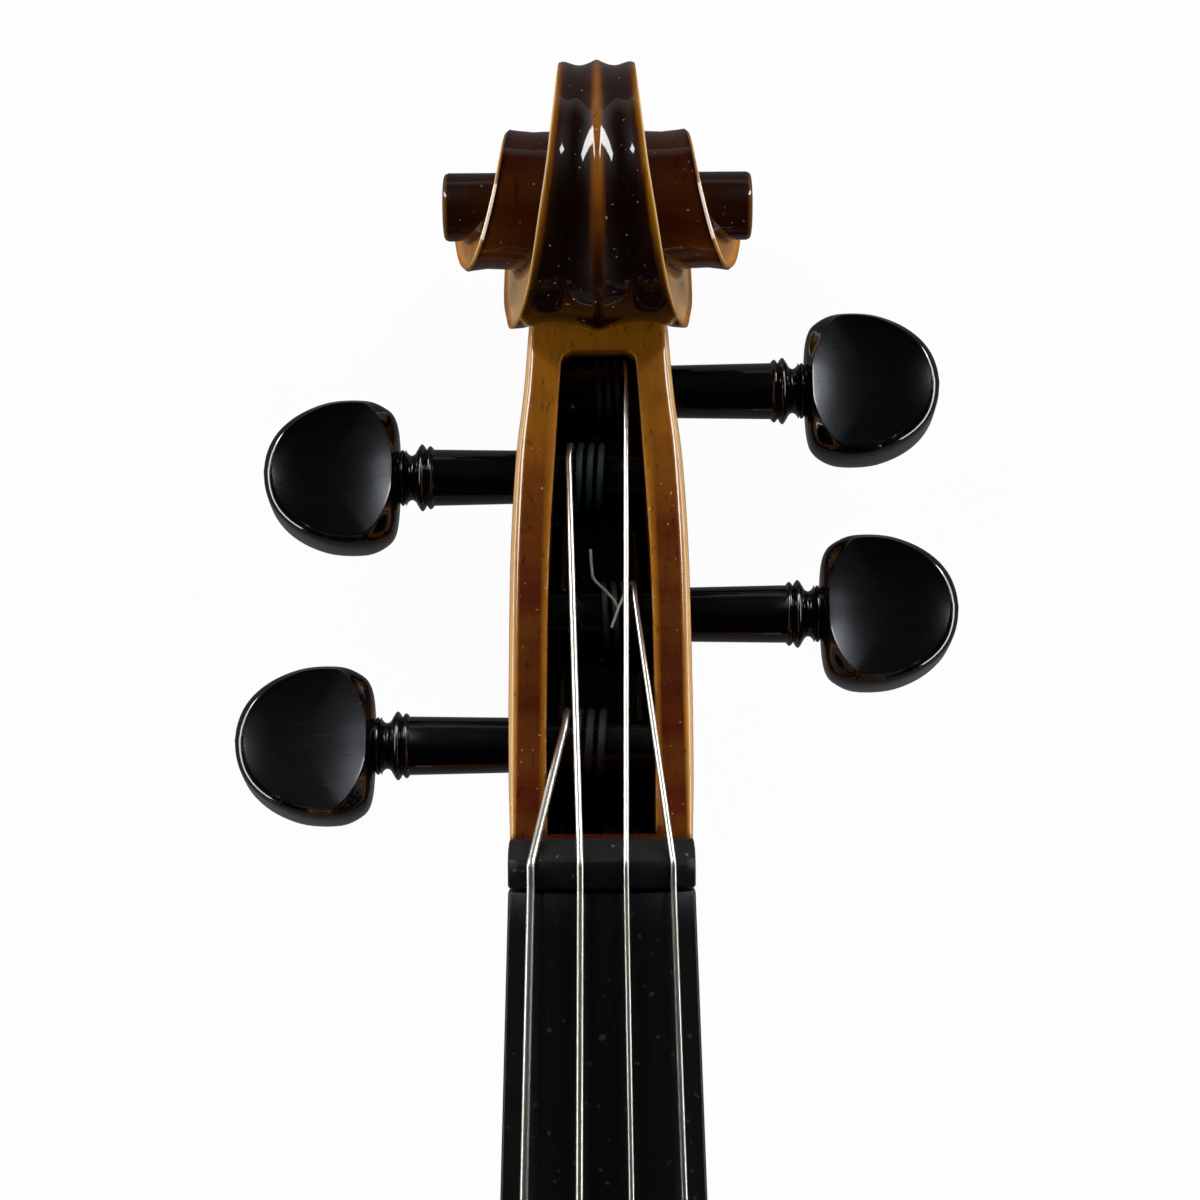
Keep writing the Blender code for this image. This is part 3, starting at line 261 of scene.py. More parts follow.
# %% [markdown]
# ## Varnished maple
# The head, neck, ribs and back are maple under an oil varnish. Four things make it: fine fibres along the
# grain, the flame, which is a set of soft bands across the grain where the fibres wave, short dark pores, and
# the varnish itself, darker in hollows and thin and pale on the edges. A photograph could be wrapped round
# the wood. Noise stretched along one axis gives the same layers at any size and needs no picture. Each mesh
# carries two paint masks worked out from its shape. One, `hollow`, darkens recesses, the corners between
# parts and the places under an overhang: partly varnish pooled there, partly painted shade. The other, of
# wear and painted light, turns edges and some faces towards gold and cream: partly varnish rubbed thin by
# hands, partly painted highlights and painted light where a lamp or the floor's glow would fall.

# %% Maple
def place_on(start, scale):
    """Points of the piece itself, scaled along each axis."""
    spot = start.node("TexCoord", out="Object")
    return start.node("Mapping", {"vector_type": "POINT"}, {"Vector": spot, "Scale": scale})


def cloud(start, scale, detail=3.0, roughness=0.55):
    inputs = {"Vector": place_on(start, scale), "Scale": 1.0, "Detail": detail, "Roughness": roughness}
    return start.node("TexNoise", None, inputs)


def mask(start, name):
    return start.node("Attribute", {"attribute_name": name}, out="Fac")


def coated(start, color, roughness, height, strength, distance, coat=1.0):
    """A varnished surface: its colour and grain lie under a clear coat."""
    bump = start.node("Bump", None, {"Strength": strength, "Distance": distance, "Height": height})
    inputs = {"Base Color": color, "Roughness": roughness, "Normal": bump, "Coat Weight": coat}
    inputs |= {"Coat Roughness": 0.05, "Coat IOR": 1.5, "Specular IOR Level": 0.08}
    surface(start, start.node("BsdfPrincipled", None, inputs))


def inlay(start, color):
    """The three strands of purfling, black, pale and black, about 4 mm inside a plate's edge."""
    far = mask(start, "from_edge")
    color = (far.spread(0.368, 0.374) * far.spread(0.502, 0.496, 0, 1)).blend(color, paint("0f0a08"))
    return (far.spread(0.404, 0.410) * far.spread(0.466, 0.460, 0, 1)).blend(color, paint("a8783c"))


def varnished_maple(name, dark, middle, bright, flame_share, across=(900, 26, 900), banded=(26, 210, 26)):
    made, start = fresh_material(name)
    fibres = cloud(start, across, 4).spread(0.32, 0.68)
    flame = cloud(start, banded, 2).spread(0.38, 0.62)
    shade = cloud(start, (34, 22, 34), 4).spread(0.30, 0.72)
    pores = cloud(start, [v * 2.2 for v in across], 1).spread(0.64, 0.72)
    # Darker by the hollow mask, which is painted shade with some pooled varnish, and in random patches of old varnish.
    deep = start.math("MAXIMUM", mask(start, "hollow"), shade * 0.55)
    color = (flame * flame_share).blend(middle, bright)
    color = deep.blend(color, dark)
    # Lighter by the mask of wear and painted light: rubbed varnish, and painted light on edges and faces where a lamp
    # or the floor's glow would fall.
    color = (mask(start, "worn") * shade.spread(0, 1, 1.0, 0.55)).blend(color, bright)
    specks = cloud(start, (1900, 1900, 1900), 0).spread(0.815, 0.845)
    color = (fibres * 0.22).blend(color, dark)
    color = (pores * 0.5).blend(color, dark)
    # Above 0.62 that mask turns the wood cream: painted highlights, above all the bright lines along the chamfers of
    # scroll and pegbox.
    color = (mask(start, "worn").spread(0.62, 0.95) * 0.9).blend(color, paint("eacb9c"))
    color = inlay(start, (specks * 0.4).blend(color, paint("c9b48a")))
    skin = cloud(start, (260, 260, 260), 2) * 0.6 + fibres * 0.4
    coated(start, color, fibres.spread(0, 1, 0.32, 0.46), skin, 0.06, 0.0004)
    return made


HEAD_MAPLE = varnished_maple("head_maple", paint("0c0301"), paint("581d06"), paint("d08a20"), 0.10)
BACK_MAPLE = varnished_maple("back_maple", paint("2a0d04"), paint("7a3a10"), paint("c47e24"), 0.55)
RIB_GRAIN = ((60, 60, 900), (220, 220, 9))
RIB_MAPLE = varnished_maple("rib_maple", paint("2c0e03"), paint("853f0d"), paint("d0861f"), 0.5, *RIB_GRAIN)
print("maple:", HEAD_MAPLE.name, BACK_MAPLE.name, RIB_MAPLE.name)

# %% [markdown]
# ## Varnished and plain spruce
# The top is spruce: straight pale wood with narrow dark winter lines a millimetre or so apart, closer to the
# middle joint. A wave texture could draw them too evenly, so noise bends it a little. Inside, blocks and
# linings are the same wood without varnish.

# %% Spruce
def spruce_color(start, line_spacing, pale, line):
    bent = cloud(start, (40, 6, 40), 2).spread(0, 1, -0.35, 0.35)
    spot = place_on(start, (1, 1, 1))
    x = start.node("SeparateXYZ", None, {0: spot}, 0)
    turn = (x * (2 * math.pi / line_spacing) + bent * 9.0).math("SINE", x * (2 * math.pi / line_spacing) + bent * 9.0)
    lines = turn.spread(0.1, 1.0) ** 2.0
    fibres = cloud(start, (1200, 18, 1200), 4).spread(0.3, 0.7)
    color = (lines * 0.55).blend(pale, line)
    return (fibres * 0.16).blend(color, line), lines, fibres


def varnished_spruce(name):
    made, start = fresh_material(name)
    wood, lines, fibres = spruce_color(start, 0.00125, paint("ac661f"), paint("552506"))
    shade = cloud(start, (12, 9, 12), 3).spread(0.3, 0.7)
    wood = (shade * 0.7).blend(wood, paint("6f320a"))
    # Darker by the hollow mask: partly varnish pooled in the channel, partly painted shade there, on the plate's inside
    # and on the f-hole walls. Lighter where the edge is rubbed.
    wood = (mask(start, "hollow") * 0.8).blend(wood, paint("3a1808"))
    wood = (mask(start, "worn") * 0.7).blend(wood, paint("dba04a"))
    wood = inlay(start, wood)
    skin = lines * 0.5 + cloud(start, (240, 240, 240), 2) * 0.5
    coated(start, wood, fibres.spread(0, 1, 0.34, 0.45), skin, 0.08, 0.0004)
    return made


def bare_wood(name, pale, line, spacing):
    made, start = fresh_material(name)
    wood, lines, fibres = spruce_color(start, spacing, pale, line)
    bump = start.node("Bump", None, {"Strength": 0.15, "Distance": 0.0003, "Height": lines + fibres})
    inputs = {"Base Color": wood, "Roughness": fibres.spread(0, 1, 0.6, 0.8), "Normal": bump}
    surface(start, start.node("BsdfPrincipled", None, inputs))
    return made


TOP_SPRUCE = varnished_spruce("top_spruce")
BLOCK_SPRUCE = bare_wood("block_spruce", paint("d9b98a"), paint("a87c48"), 0.0014)
print("spruce:", TOP_SPRUCE.name, BLOCK_SPRUCE.name)

# %% [markdown]
# ## Bridge maple
# A bridge is left without varnish. Its face shows the short dark flecks of quartered maple, all lying across
# the bridge, on a pale ground that years of rosin have warmed.

# %% Bridge wood
def bridge_wood():
    made, start = fresh_material("bridge_wood")
    flecks = cloud(start, (420, 90, 1500), 2).spread(0.60, 0.70)
    shade = cloud(start, (90, 90, 60), 3).spread(0.3, 0.7)
    color = (shade * 0.6).blend(paint("dcb57c"), paint("c08c50"))
    color = (flecks * 0.75).blend(color, paint("7c4a22"))
    bump = start.node("Bump", None, {"Strength": 0.12, "Distance": 0.0002, "Height": flecks})
    inputs = {"Base Color": color, "Roughness": shade.spread(0, 1, 0.48, 0.62), "Normal": bump}
    surface(start, start.node("BsdfPrincipled", None, inputs))
    return made


BRIDGE_WOOD = bridge_wood()
print("bridge:", BRIDGE_WOOD.name)

# %% [markdown]
# ## Ebony
# Pegs, nut, fingerboard, tailpiece, saddle and button are ebony, oiled and rubbed to a satin. It is nearly
# black, so its colour hardly matters: what tells ebony from plastic is the fine lengthwise pores that break
# up its sheen. They go into roughness and bump, along the length of each piece.

# %% Ebony
def ebony_wood(name, grain_axis, rough, pore_share):
    made, start = fresh_material(name)
    along = [2200.0, 2200.0, 2200.0]
    along[grain_axis] = 190.0
    pores = cloud(start, along, 3).spread(0.60, 0.74)
    streaks = cloud(start, [v * 0.45 for v in along], 4).spread(0.35, 0.7)
    # Grey flecks, a grey cast and a duller finish follow the mask of dust and painted sheen: dust on the board, and on
    # the nut's back a painted sheen as well.
    greying = cloud(start, (900, 900, 900), 0).spread(0.78, 0.80)
    color = (streaks * 0.5).blend(paint("030304"), paint("0a0909"))
    color = (greying * mask(start, "dusty")).blend(color, paint("77716a"))
    color = (mask(start, "dusty") * 0.16).blend(color, paint("4a4847"))
    matt = pores.spread(0, 1, rough, rough + 0.12 * pore_share) + mask(start, "dusty") * 0.25
    matt = matt * mask(start, "worn").spread(0, 1, 1.0, 0.45)
    bump = start.node("Bump", None, {"Strength": 0.10 * pore_share, "Distance": 0.0002, "Height": 1.0 - pores})
    inputs = {"Base Color": color, "Roughness": matt, "Normal": bump, "Specular IOR Level": 0.3}
    # The reflections are tinted blue: a painted cool cast of light, not a colour of the ebony.
    inputs |= {"Specular Tint": (0.86, 0.92, 1.0), "Coat Weight": mask(start, "worn"), "Coat Roughness": 0.08}
    surface(start, start.node("BsdfPrincipled", None, inputs))
    return made


PEG_EBONY = ebony_wood("peg_ebony", 0, 0.27, 0.2)
DULL_EBONY = ebony_wood("dull_peg_ebony", 0, 0.34, 1.0)
BOARD_EBONY = ebony_wood("board_ebony", 1, 0.30, 1.0)
NUT_EBONY = ebony_wood("nut_ebony", 0, 0.30, 0.6)
print("ebony:", PEG_EBONY.name, BOARD_EBONY.name, NUT_EBONY.name)

# %% [markdown]
# ## Wire and cord
# Viola strings are wound with flat metal ribbon, so they shine like brushed steel with fine rings round them.
# The tailgut is a smooth black nylon cord.

# %% Strings and tailgut
def wound_metal(name, pitch, silk):
    made, start = fresh_material(name)
    tone = cloud(start, (300, 40, 300), 2).spread(0.3, 0.7)
    color = tone.blend(paint("e4e1da"), paint("bdb9b0"))
    wrapped = mask(start, "silk")
    turns = (mask(start, "far") * (2 * math.pi / pitch)).math("SINE", mask(start, "far") * (2 * math.pi / pitch))
    color = wrapped.blend(color, silk)
    bump = start.node("Bump", None, {"Strength": 0.04, "Distance": 0.00003, "Height": turns})
    inputs = {"Base Color": color, "Metallic": 1.0 - wrapped, "Normal": bump}
    inputs["Roughness"] = tone.spread(0, 1, 0.32, 0.40) + wrapped * 0.3
    surface(start, start.node("BsdfPrincipled", None, inputs))
    return made


def nylon():
    made, start = fresh_material("black_cord")
    grain = cloud(start, (700, 700, 700), 2)
    bump = start.node("Bump", None, {"Strength": 0.1, "Distance": 0.0001, "Height": grain})
    inputs = {"Base Color": grain.blend(paint("0c0c0c"), paint("1c1b1a")), "Normal": bump}
    inputs |= {"Roughness": grain.spread(0, 1, 0.35, 0.5)}
    surface(start, start.node("BsdfPrincipled", None, inputs))
    return made


# The silk at each string's peg end is given near-black colours, darker than real silk: painted shade of the pegbox's
# inside, where it lies.
STRING_LOOKS = {
    "string_c": wound_metal("wound_c", 0.00030, paint("0c0609")),
    "string_g": wound_metal("wound_g", 0.00026, paint("041a10")),
    "string_d": wound_metal("wound_d", 0.00020, paint("06080c")),
    "string_a": wound_metal("wound_a", 0.00034, paint("0c0706")),
}
TAIL_NYLON = nylon()
print("wire and cord:", list(STRING_LOOKS), TAIL_NYLON.name)

# %% [markdown]
# ## Making and placing pieces
# Most pieces are lofts: rings of points, one after another, joined by faces. Blender could skin a curve with
# a bevel object, but a loft lets every ring have its own shape. Each finished piece is named, given its
# finish and hung on the body that carries it, and the packed pieces it stands for are hidden.

# %% Loft and place
BODY_SHIFT = -0.3316066
VIOLA = "viola"


def smooth_through(stops, place):
    """A smooth curve's value between listed stops, (place, value, value...), with level ends."""
    last = len(stops) - 2
    i = next((k for k in range(last + 1) if place <= stops[k + 1][0]), last)
    a, b = stops[i][0], stops[i + 1][0]
    before, after = stops[max(i - 1, 0)], stops[min(i + 2, last + 1)]
    t = min(1.0, max(0.0, (place - a) / (b - a)))
    found = []
    for p, q, early, late in zip(stops[i][1:], stops[i + 1][1:], before[1:], after[1:]):
        lean = (q - early) / (b - before[0]) * (b - a)
        lead = (late - p) / (after[0] - a) * (b - a)
        rest = t * t * (3 - 2 * t)
        found.append(p + (q - p) * rest + lean * t * (1 - t) ** 2 - lead * t * t * (1 - t))
    return found if len(found) > 1 else found[0]


def mix(low, high, share):
    return low + (high - low) * share


def steps_between(low, high, count):
    return [mix(low, high, i / count) for i in range(count + 1)]


def mesh_from(points, faces):
    """A closed mesh of points in the body's own frame, with its faces turned outwards."""
    mesh = bpy.data.meshes.new("piece")
    mesh.from_pydata([(x, y + BODY_SHIFT, z) for x, y, z in points], [], faces)
    work = bmesh.new()
    work.from_mesh(mesh)
    bmesh.ops.remove_doubles(work, verts=work.verts, dist=2e-6)
    bmesh.ops.dissolve_degenerate(work, edges=work.edges, dist=1e-6)
    bmesh.ops.holes_fill(work, edges=work.edges)
    bmesh.ops.recalc_face_normals(work, faces=work.faces)
    if work.calc_volume(signed=True) < 0:
        bmesh.ops.reverse_faces(work, faces=work.faces)
    work.to_mesh(mesh)
    work.free()
    return mesh


def loft(rings, closed_ends=True):
    size = len(rings[0])
    points = [point for ring in rings for point in ring]
    faces = []
    for row in range(len(rings) - 1):
        for i in range(size):
            a, b = row * size + i, row * size + (i + 1) % size
            faces.append((a, b, b + size, a + size))
    if closed_ends:
        faces += [tuple(range(size)), tuple(range(len(points) - size, len(points)))]
    return mesh_from(points, faces)


def piece(name, mesh, look, stands_for=(), body=VIOLA, sharp=34):
    mesh.materials.clear()
    mesh.materials.append(look)
    mesh.shade_smooth()
    mesh.set_sharp_from_angle(angle=math.radians(sharp))
    made = bpy.data.objects.new(name, mesh)
    scene.collection.objects.link(made)
    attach(made, body)
    if stands_for:
        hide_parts(*([stands_for] if isinstance(stands_for, str) else stands_for))
    print(f"{name}: {len(mesh.polygons)} faces")
    return made


def cut(mesh, cutters, operation="DIFFERENCE"):
    """The mesh with these other meshes taken from it, or added to it, as one clean body."""
    base = bpy.data.objects.new("base", mesh)
    scene.collection.objects.link(base)
    helpers = []
    for cutter in cutters:
        helper = bpy.data.objects.new("helper", cutter)
        scene.collection.objects.link(helper)
        step = base.modifiers.new("step", "BOOLEAN")
        step.solver = "EXACT"
        step.operation = operation
        step.object = helper
        helpers.append(helper)
    bpy.context.view_layer.update()
    made = bpy.data.meshes.new_from_object(base.evaluated_get(bpy.context.evaluated_depsgraph_get()))
    for helper in [base, *helpers]:
        bpy.data.objects.remove(helper)
    return made


def paint_mask(mesh, name, values):
    layer = mesh.attributes.get(name) or mesh.attributes.new(name, "FLOAT", "POINT")
    layer.data.foreach_set("value", np.clip(np.asarray(values, np.float32), 0, 1))


print("tools ready; the body's frame is moved by", BODY_SHIFT)

# %% [markdown]
# ## The head: neck, pegbox and scroll
# Neck, pegbox and scroll are carved from one billet of maple. The carver first saws the side view, then cuts
# the turns of the scroll with gouges, and last hollows two flutes along its back with a fine ridge between.
# Two solids could be joined, a box for the pegbox and a ribbon for the scroll, but a joint there would show
# as a crease. Here one skin runs all the way: rings go up the neck and the pegbox, and the last ring is at
# the same time the first cross-cut of the scroll's ribbon.
#
# Each ring is half of a cross-section, from the middle of its front to the middle of its back, as pairs
# (x, depth), where depth is 0 on the front line and 1 on the back line. The other half is its mirror image.

# %% Cross-sections of neck and pegbox
NECK_SLOPE = math.radians(6.8)
PEGBOX_SLOPE = math.radians(16.5)
NUT_Y = 0.555
BODY_LENGTH = 0.406
HEAD_Y, HEAD_Z = 0.5618, 0.048522
EYE_ALONG, EYE_ABOVE, EYE_RADIUS = 0.0910, 0.0070, 0.0053
TOP_STEPS, CORNER_STEPS, CHEEK_STEPS, BAND_STEPS = 4, 4, 6, 10
CHAMFER = 0.0004
CHAMFER_OUT = 0.0005
RIDGE_FLAT = 0.035
BAND_SHARES = (0.0, RIDGE_FLAT, 0.09, 0.17, 0.27, 0.39, 0.52, 0.65, 0.78, 0.90, 1.0)


def glue_plane(y):
    """Height of the flat top of the neck, which the fingerboard is glued to."""
    return 0.0667 - math.tan(NECK_SLOPE) * (y - BODY_LENGTH)


def head(x, along, above):
    """A point of the head, along the pegbox's front face from the nut and above that face."""
    y = HEAD_Y + along * math.cos(PEGBOX_SLOPE) + above * math.sin(PEGBOX_SLOPE)
    return (x, y, HEAD_Z - along * math.sin(PEGBOX_SLOPE) + above * math.cos(PEGBOX_SLOPE))


def flute(share, deep):
    """How deep a flute lies between the ridge (share 0) and the edge (share 1): straighter on the ridge's side."""
    share = max(0.0, min(1.0, share) - RIDGE_FLAT) / (1 - RIDGE_FLAT)
    wave = math.sin(math.pi * share) ** 2
    return deep * (0.3 + 0.7 * wave if share > 0.5 else 0.5 * wave + 0.5 * (1 - (1 - 2 * share) ** 3))


def round_half(half, narrow, squareness):
    """Half a neck section: a flat top, then a round underside."""
    found = [(half * i / TOP_STEPS, 0.0) for i in range(TOP_STEPS + 1)]
    found += [(half, 0.002 * i) for i in range(1, CORNER_STEPS + 1)]
    count = CHEEK_STEPS + BAND_STEPS + 1
    for i in range(1, count + 1):
        turn = math.pi / 2 * i / count
        across, down = math.cos(turn) ** squareness, math.sin(turn) ** squareness
        found.append((across * mix(half, narrow, down), 0.006 + 0.994 * down))
    return found


def box_half(half, narrow, corner, depth, deep):
    """Half a pegbox section: a rounded upper edge, a full cheek, a chamfer and the fluted back."""
    found = [((half - corner) * i / TOP_STEPS, 0.0) for i in range(TOP_STEPS + 1)]
    for i in range(1, CORNER_STEPS + 1):
        turn = math.pi / 2 * i / CORNER_STEPS
        found.append((half - corner + corner * math.sin(turn), corner * (1 - math.cos(turn)) / depth))
    for i in range(1, CHEEK_STEPS + 1):
        share = i / CHEEK_STEPS
        x = mix(half, narrow, share**1.6) + 0.0003 * math.sin(math.pi * share)
        found.append((x, mix(corner / depth, 1 - CHAMFER / depth, share)))
    for i in range(BAND_STEPS, -1, -1):
        share = BAND_SHARES[i]
        found.append(((narrow - CHAMFER_OUT) * share, 1 - flute(share, deep) / depth))
    return found


def whole(half_ring, carry):
    """A full ring from one half and its mirror image, each point carried to its place."""
    right = [carry(x, d) for x, d in half_ring]
    return right + [carry(-x, d) for x, d in half_ring[-2:0:-1]]


print("points in a ring:", 2 * (TOP_STEPS + CORNER_STEPS + CHEEK_STEPS + BAND_STEPS + 2) - 2)

# %% Rings of the neck and the pegbox
NECK_ROWS = (
    (0.4000, 0.0150, 0.0112, 0.0489, 0.62),
    (0.4165, 0.0150, 0.0115, 0.0474, 0.62),
    (0.4190, 0.0150, 0.0118, 0.0425, 0.66),
    (0.4225, 0.0150, 0.0124, 0.0350, 0.70),
    (0.4275, 0.0150, 0.0130, 0.0268, 0.76),
    (0.4340, 0.0150, 0.0133, 0.0200, 0.82),
    (0.4420, 0.0150, 0.0135, 0.0162, 0.88),
    (0.4600, 0.0149, 0.0136, 0.0148, 0.90),
    (0.5000, 0.0143, 0.0131, 0.0139, 0.90),
    (0.5400, 0.0131, 0.0121, 0.0131, 0.88),
    (0.5500, 0.0127, 0.0118, 0.0136, 0.86),
)
# Rows: front line along and above, back line along and above, half width in front and behind, edge, flutes
PEGBOX_ROWS = (
    (0, 0.0005, 0.0000, -0.0020, -0.0216, 0.0126, 0.0117, 0.0009, 0.0000),
    (1, 0.0060, 0.0000, 0.0056, -0.0262, 0.0128, 0.0117, 0.0012, 0.0001),
    (2, 0.0130, 0.0000, 0.0130, -0.0270, 0.0129, 0.0118, 0.0014, 0.0007),
    (3, 0.0220, 0.0000, 0.0220, -0.0258, 0.0129, 0.0118, 0.0015, 0.0009),
    (4, 0.0400, 0.0000, 0.0400, -0.0230, 0.0127, 0.0116, 0.0015, 0.0010),
    (5, 0.0550, 0.0000, 0.0550, -0.0198, 0.0120, 0.0110, 0.0015, 0.0010),
    (6, 0.0660, 0.0000, 0.0660, -0.0173, 0.0108, 0.0101, 0.0014, 0.0010),
    (7, 0.0754, 0.0000, 0.0749, -0.0161, 0.0101, 0.0093, 0.0012, 0.0010),
    (8, 0.0762, -0.0007, 0.0760, -0.0161, 0.0099, 0.0092, 0.0011, 0.0010),
    (9, 0.0771, -0.0030, 0.0773, -0.0161, 0.0096, 0.0091, 0.0009, 0.0010),
    (10, 0.0791, -0.0063, 0.0800, -0.0162, 0.0090, 0.0088, 0.0006, 0.0010),
    (11, 0.0830, -0.0084, 0.0842, -0.0164, 0.0084, 0.0086, 0.0004, 0.0010),
    (12, 0.0870, -0.0086, 0.0875, -0.0167, 0.0078, 0.0083, 0.0002, 0.0010),
    (13, 0.0910, -0.0070, 0.0910, -0.0169, 0.0074, 0.0083, 0.0001, 0.0010),
)


def neck_rings():
    rings = []
    for y in steps_between(0.4000, 0.4420, 26) + steps_between(0.4500, 0.5500, 16):
        half, narrow, deep, squareness = smooth_through(NECK_ROWS, y)
        front = glue_plane(y)
        rings.append(whole(round_half(half, narrow, squareness), lambda x, d: (x, y, front - d * deep)))
    return rings


def chin_rings():
    """From the round neck under the nut into the pegbox, the underside swelling into its chin."""
    half, narrow, deep, squareness = NECK_ROWS[-1][1:]
    start = [(x, (0.5500, glue_plane(0.5500) - d * deep)) for x, d in round_half(half, narrow, squareness)]
    goal = pegbox_half(0)
    rings = []
    for i in range(1, 9):
        share = i / 9
        bend = share * share * (3 - 2 * share)
        ring = []
        for (x, (y, z)), (gx, (gy, gz)) in zip(start, goal):
            ring.append((mix(x, gx, bend), mix(y, gy, share), mix(z, gz, share if gz > 0.045 else bend)))
        rings.append(ring + [(-x, y, z) for x, y, z in ring[-2:0:-1]])
    return rings


def pegbox_half(place):
    front_along, front_up, back_along, back_up, half, narrow, corner, deep = smooth_through(PEGBOX_ROWS, place)
    depth = front_up - back_up
    found = []
    for x, d in box_half(half, narrow, corner, depth, deep):
        _, y, z = head(0, mix(front_along, back_along, d), mix(front_up, back_up, d))
        found.append((x, (y, z)))
    return found


print("neck rings:", len(neck_rings()), "chin rings:", len(chin_rings()))

# %% [markdown]
# The scroll is a ribbon wound about its eye. A table gives its radius and half its width at a number of
# turns, counted in degrees from its highest point over its front, and a smooth curve runs through the table.
# Every turn lies inside the one before and is wider, so its rim stands out to the side like a step of a
# spiral stair. The faces of each turn's side are hollowed a little, as the gouge leaves them.

# %% The scroll's ribbon
TURN_RADII = (
    (-90, 0.0237), (0, 0.0213), (90, 0.0200), (140, 0.0194), (180, 0.0187), (196, 0.0178), (208, 0.0160),
    (235, 0.0147), (270, 0.0140),
    (360, 0.0114), (450, 0.0105), (540, 0.0096), (630, 0.0074), (720, 0.0053),
)
TURN_WIDTHS = (
    (-90, 0.0083), (-45, 0.0066), (0, 0.0055), (45, 0.0056), (90, 0.0068), (120, 0.0083), (150, 0.0099),
    (180, 0.0119), (200, 0.0131), (225, 0.0138), (270, 0.0137), (360, 0.0129), (450, 0.0144), (540, 0.0185), (590, 0.0204), (640, 0.0212),
    (720, 0.0214),
)
FLUTE_DEPTHS = ((-90, 0.0009), (0, 0.0007), (60, 0.0010), (120, 0.0012), (180, 0.0015), (225, 0.0006), (270, 0.0))
TURN_STEP = 5
FIRST_TURN, LAST_TURN = -90, 720
JOINED = FIRST_TURN + 360
EYE_TURN = LAST_TURN - 360
# Tables along the scroll, by turn, for the mask of wear and painted light. The sides of the turns: a little wear, and
# mostly painted light, as if the white floor lit them from below.
SIDE_GOLD_AND_LIGHT = (
    (-90, 0.5), (120, 0.5), (180, 0.72), (260, 0.72), (380, 0.5), (470, 0.5), (520, 0.62), (640, 0.62), (720, 0.3),
)
# The band's margin, then its ridge: lighter where varnish is rubbed, and more where they would face the lamps, as a
# painted highlight.
EDGE_MARGIN_WEAR_AND_HIGHLIGHT = ((-90, 0.12), (45, 0.12), (65, 0.36), (115, 0.36), (140, 0.1), (170, 0.0), (720, 0.0))
RIDGE_WEAR_AND_LIGHT = ((-90, 0.6), (30, 0.6), (60, 1.0), (90, 1.0), (135, 0.0), (720, 0.0))
# The chamfered edges: pale painted highlight lines where a side lamp would glance off them, over rubbed varnish.
EDGE_WEAR_AND_HIGHLIGHT = (
    (-90, 0.6), (20, 0.45), (60, 1.0), (150, 1.0), (200, 0.5), (270, 0.5), (380, 0.45), (430, 1.0), (510, 1.0),
    (560, 0.62), (720, 0.62),
)
SIDE_HOLLOW = 0.0011
SIDE_STEPS = CHEEK_STEPS
WALL_SHARES = (0.0, 0.25, 0.6, 0.9, 1.0)
# The eye's end, ring by ring: how much smaller, how far out, and a faint painted highlight on its rim.
EYE_RINGS = ((0.0, 0.0, 0.0), (0.0002, 0.0005, 0.2), (0.0006, 0.0007, 0.2), (0.0013, 0.0008, 0.0), (0.0026, 0.0008, 0.0))


def turn_width(turn):
    return smooth_through(TURN_WIDTHS, turn)


def side_floor(turn):
    """How far out the side of a turn lies where it meets the next turn in."""
    return turn_width(turn) - SIDE_HOLLOW * min(1.0, (LAST_TURN - turn) / 200)


class ScrollSkin:
    """Collects the scroll's points under names, so that neighbouring faces share them."""

    def __init__(self):
        self.points = []
        self.faces = []
        self.seam = []
        self.numbers = {}
        self.worn = []
        self.hollow = []

    def point(self, key, turn, radius, x, worn=0.0, hollow=0.0):
        if key not in self.numbers:
            angle = math.radians(turn)
            self.numbers[key] = len(self.points)
            place = head(x, EYE_ALONG + radius * math.cos(angle), EYE_ABOVE + radius * math.sin(angle))
            self.points.append(place)
            self.worn.append(worn)
            self.hollow.append(hollow)
        return self.numbers[key]

    def face(self, *corners):
        self.faces.append(tuple(dict.fromkeys(corners)))


def band_share(turn, i):
    """Place of point i of the band, from ridge 0 to edge 1, drawn in to meet the pegbox where it is joined."""
    even = BAND_SHARES[i]
    if turn <= 190 or i == BAND_STEPS:
        return even
    top_count = TOP_STEPS + CORNER_STEPS
    joint = i / top_count * side_floor(FIRST_TURN) / (turn_width(JOINED) - CHAMFER_OUT)
    return mix(even, joint, (turn - 190) / (JOINED - 190))


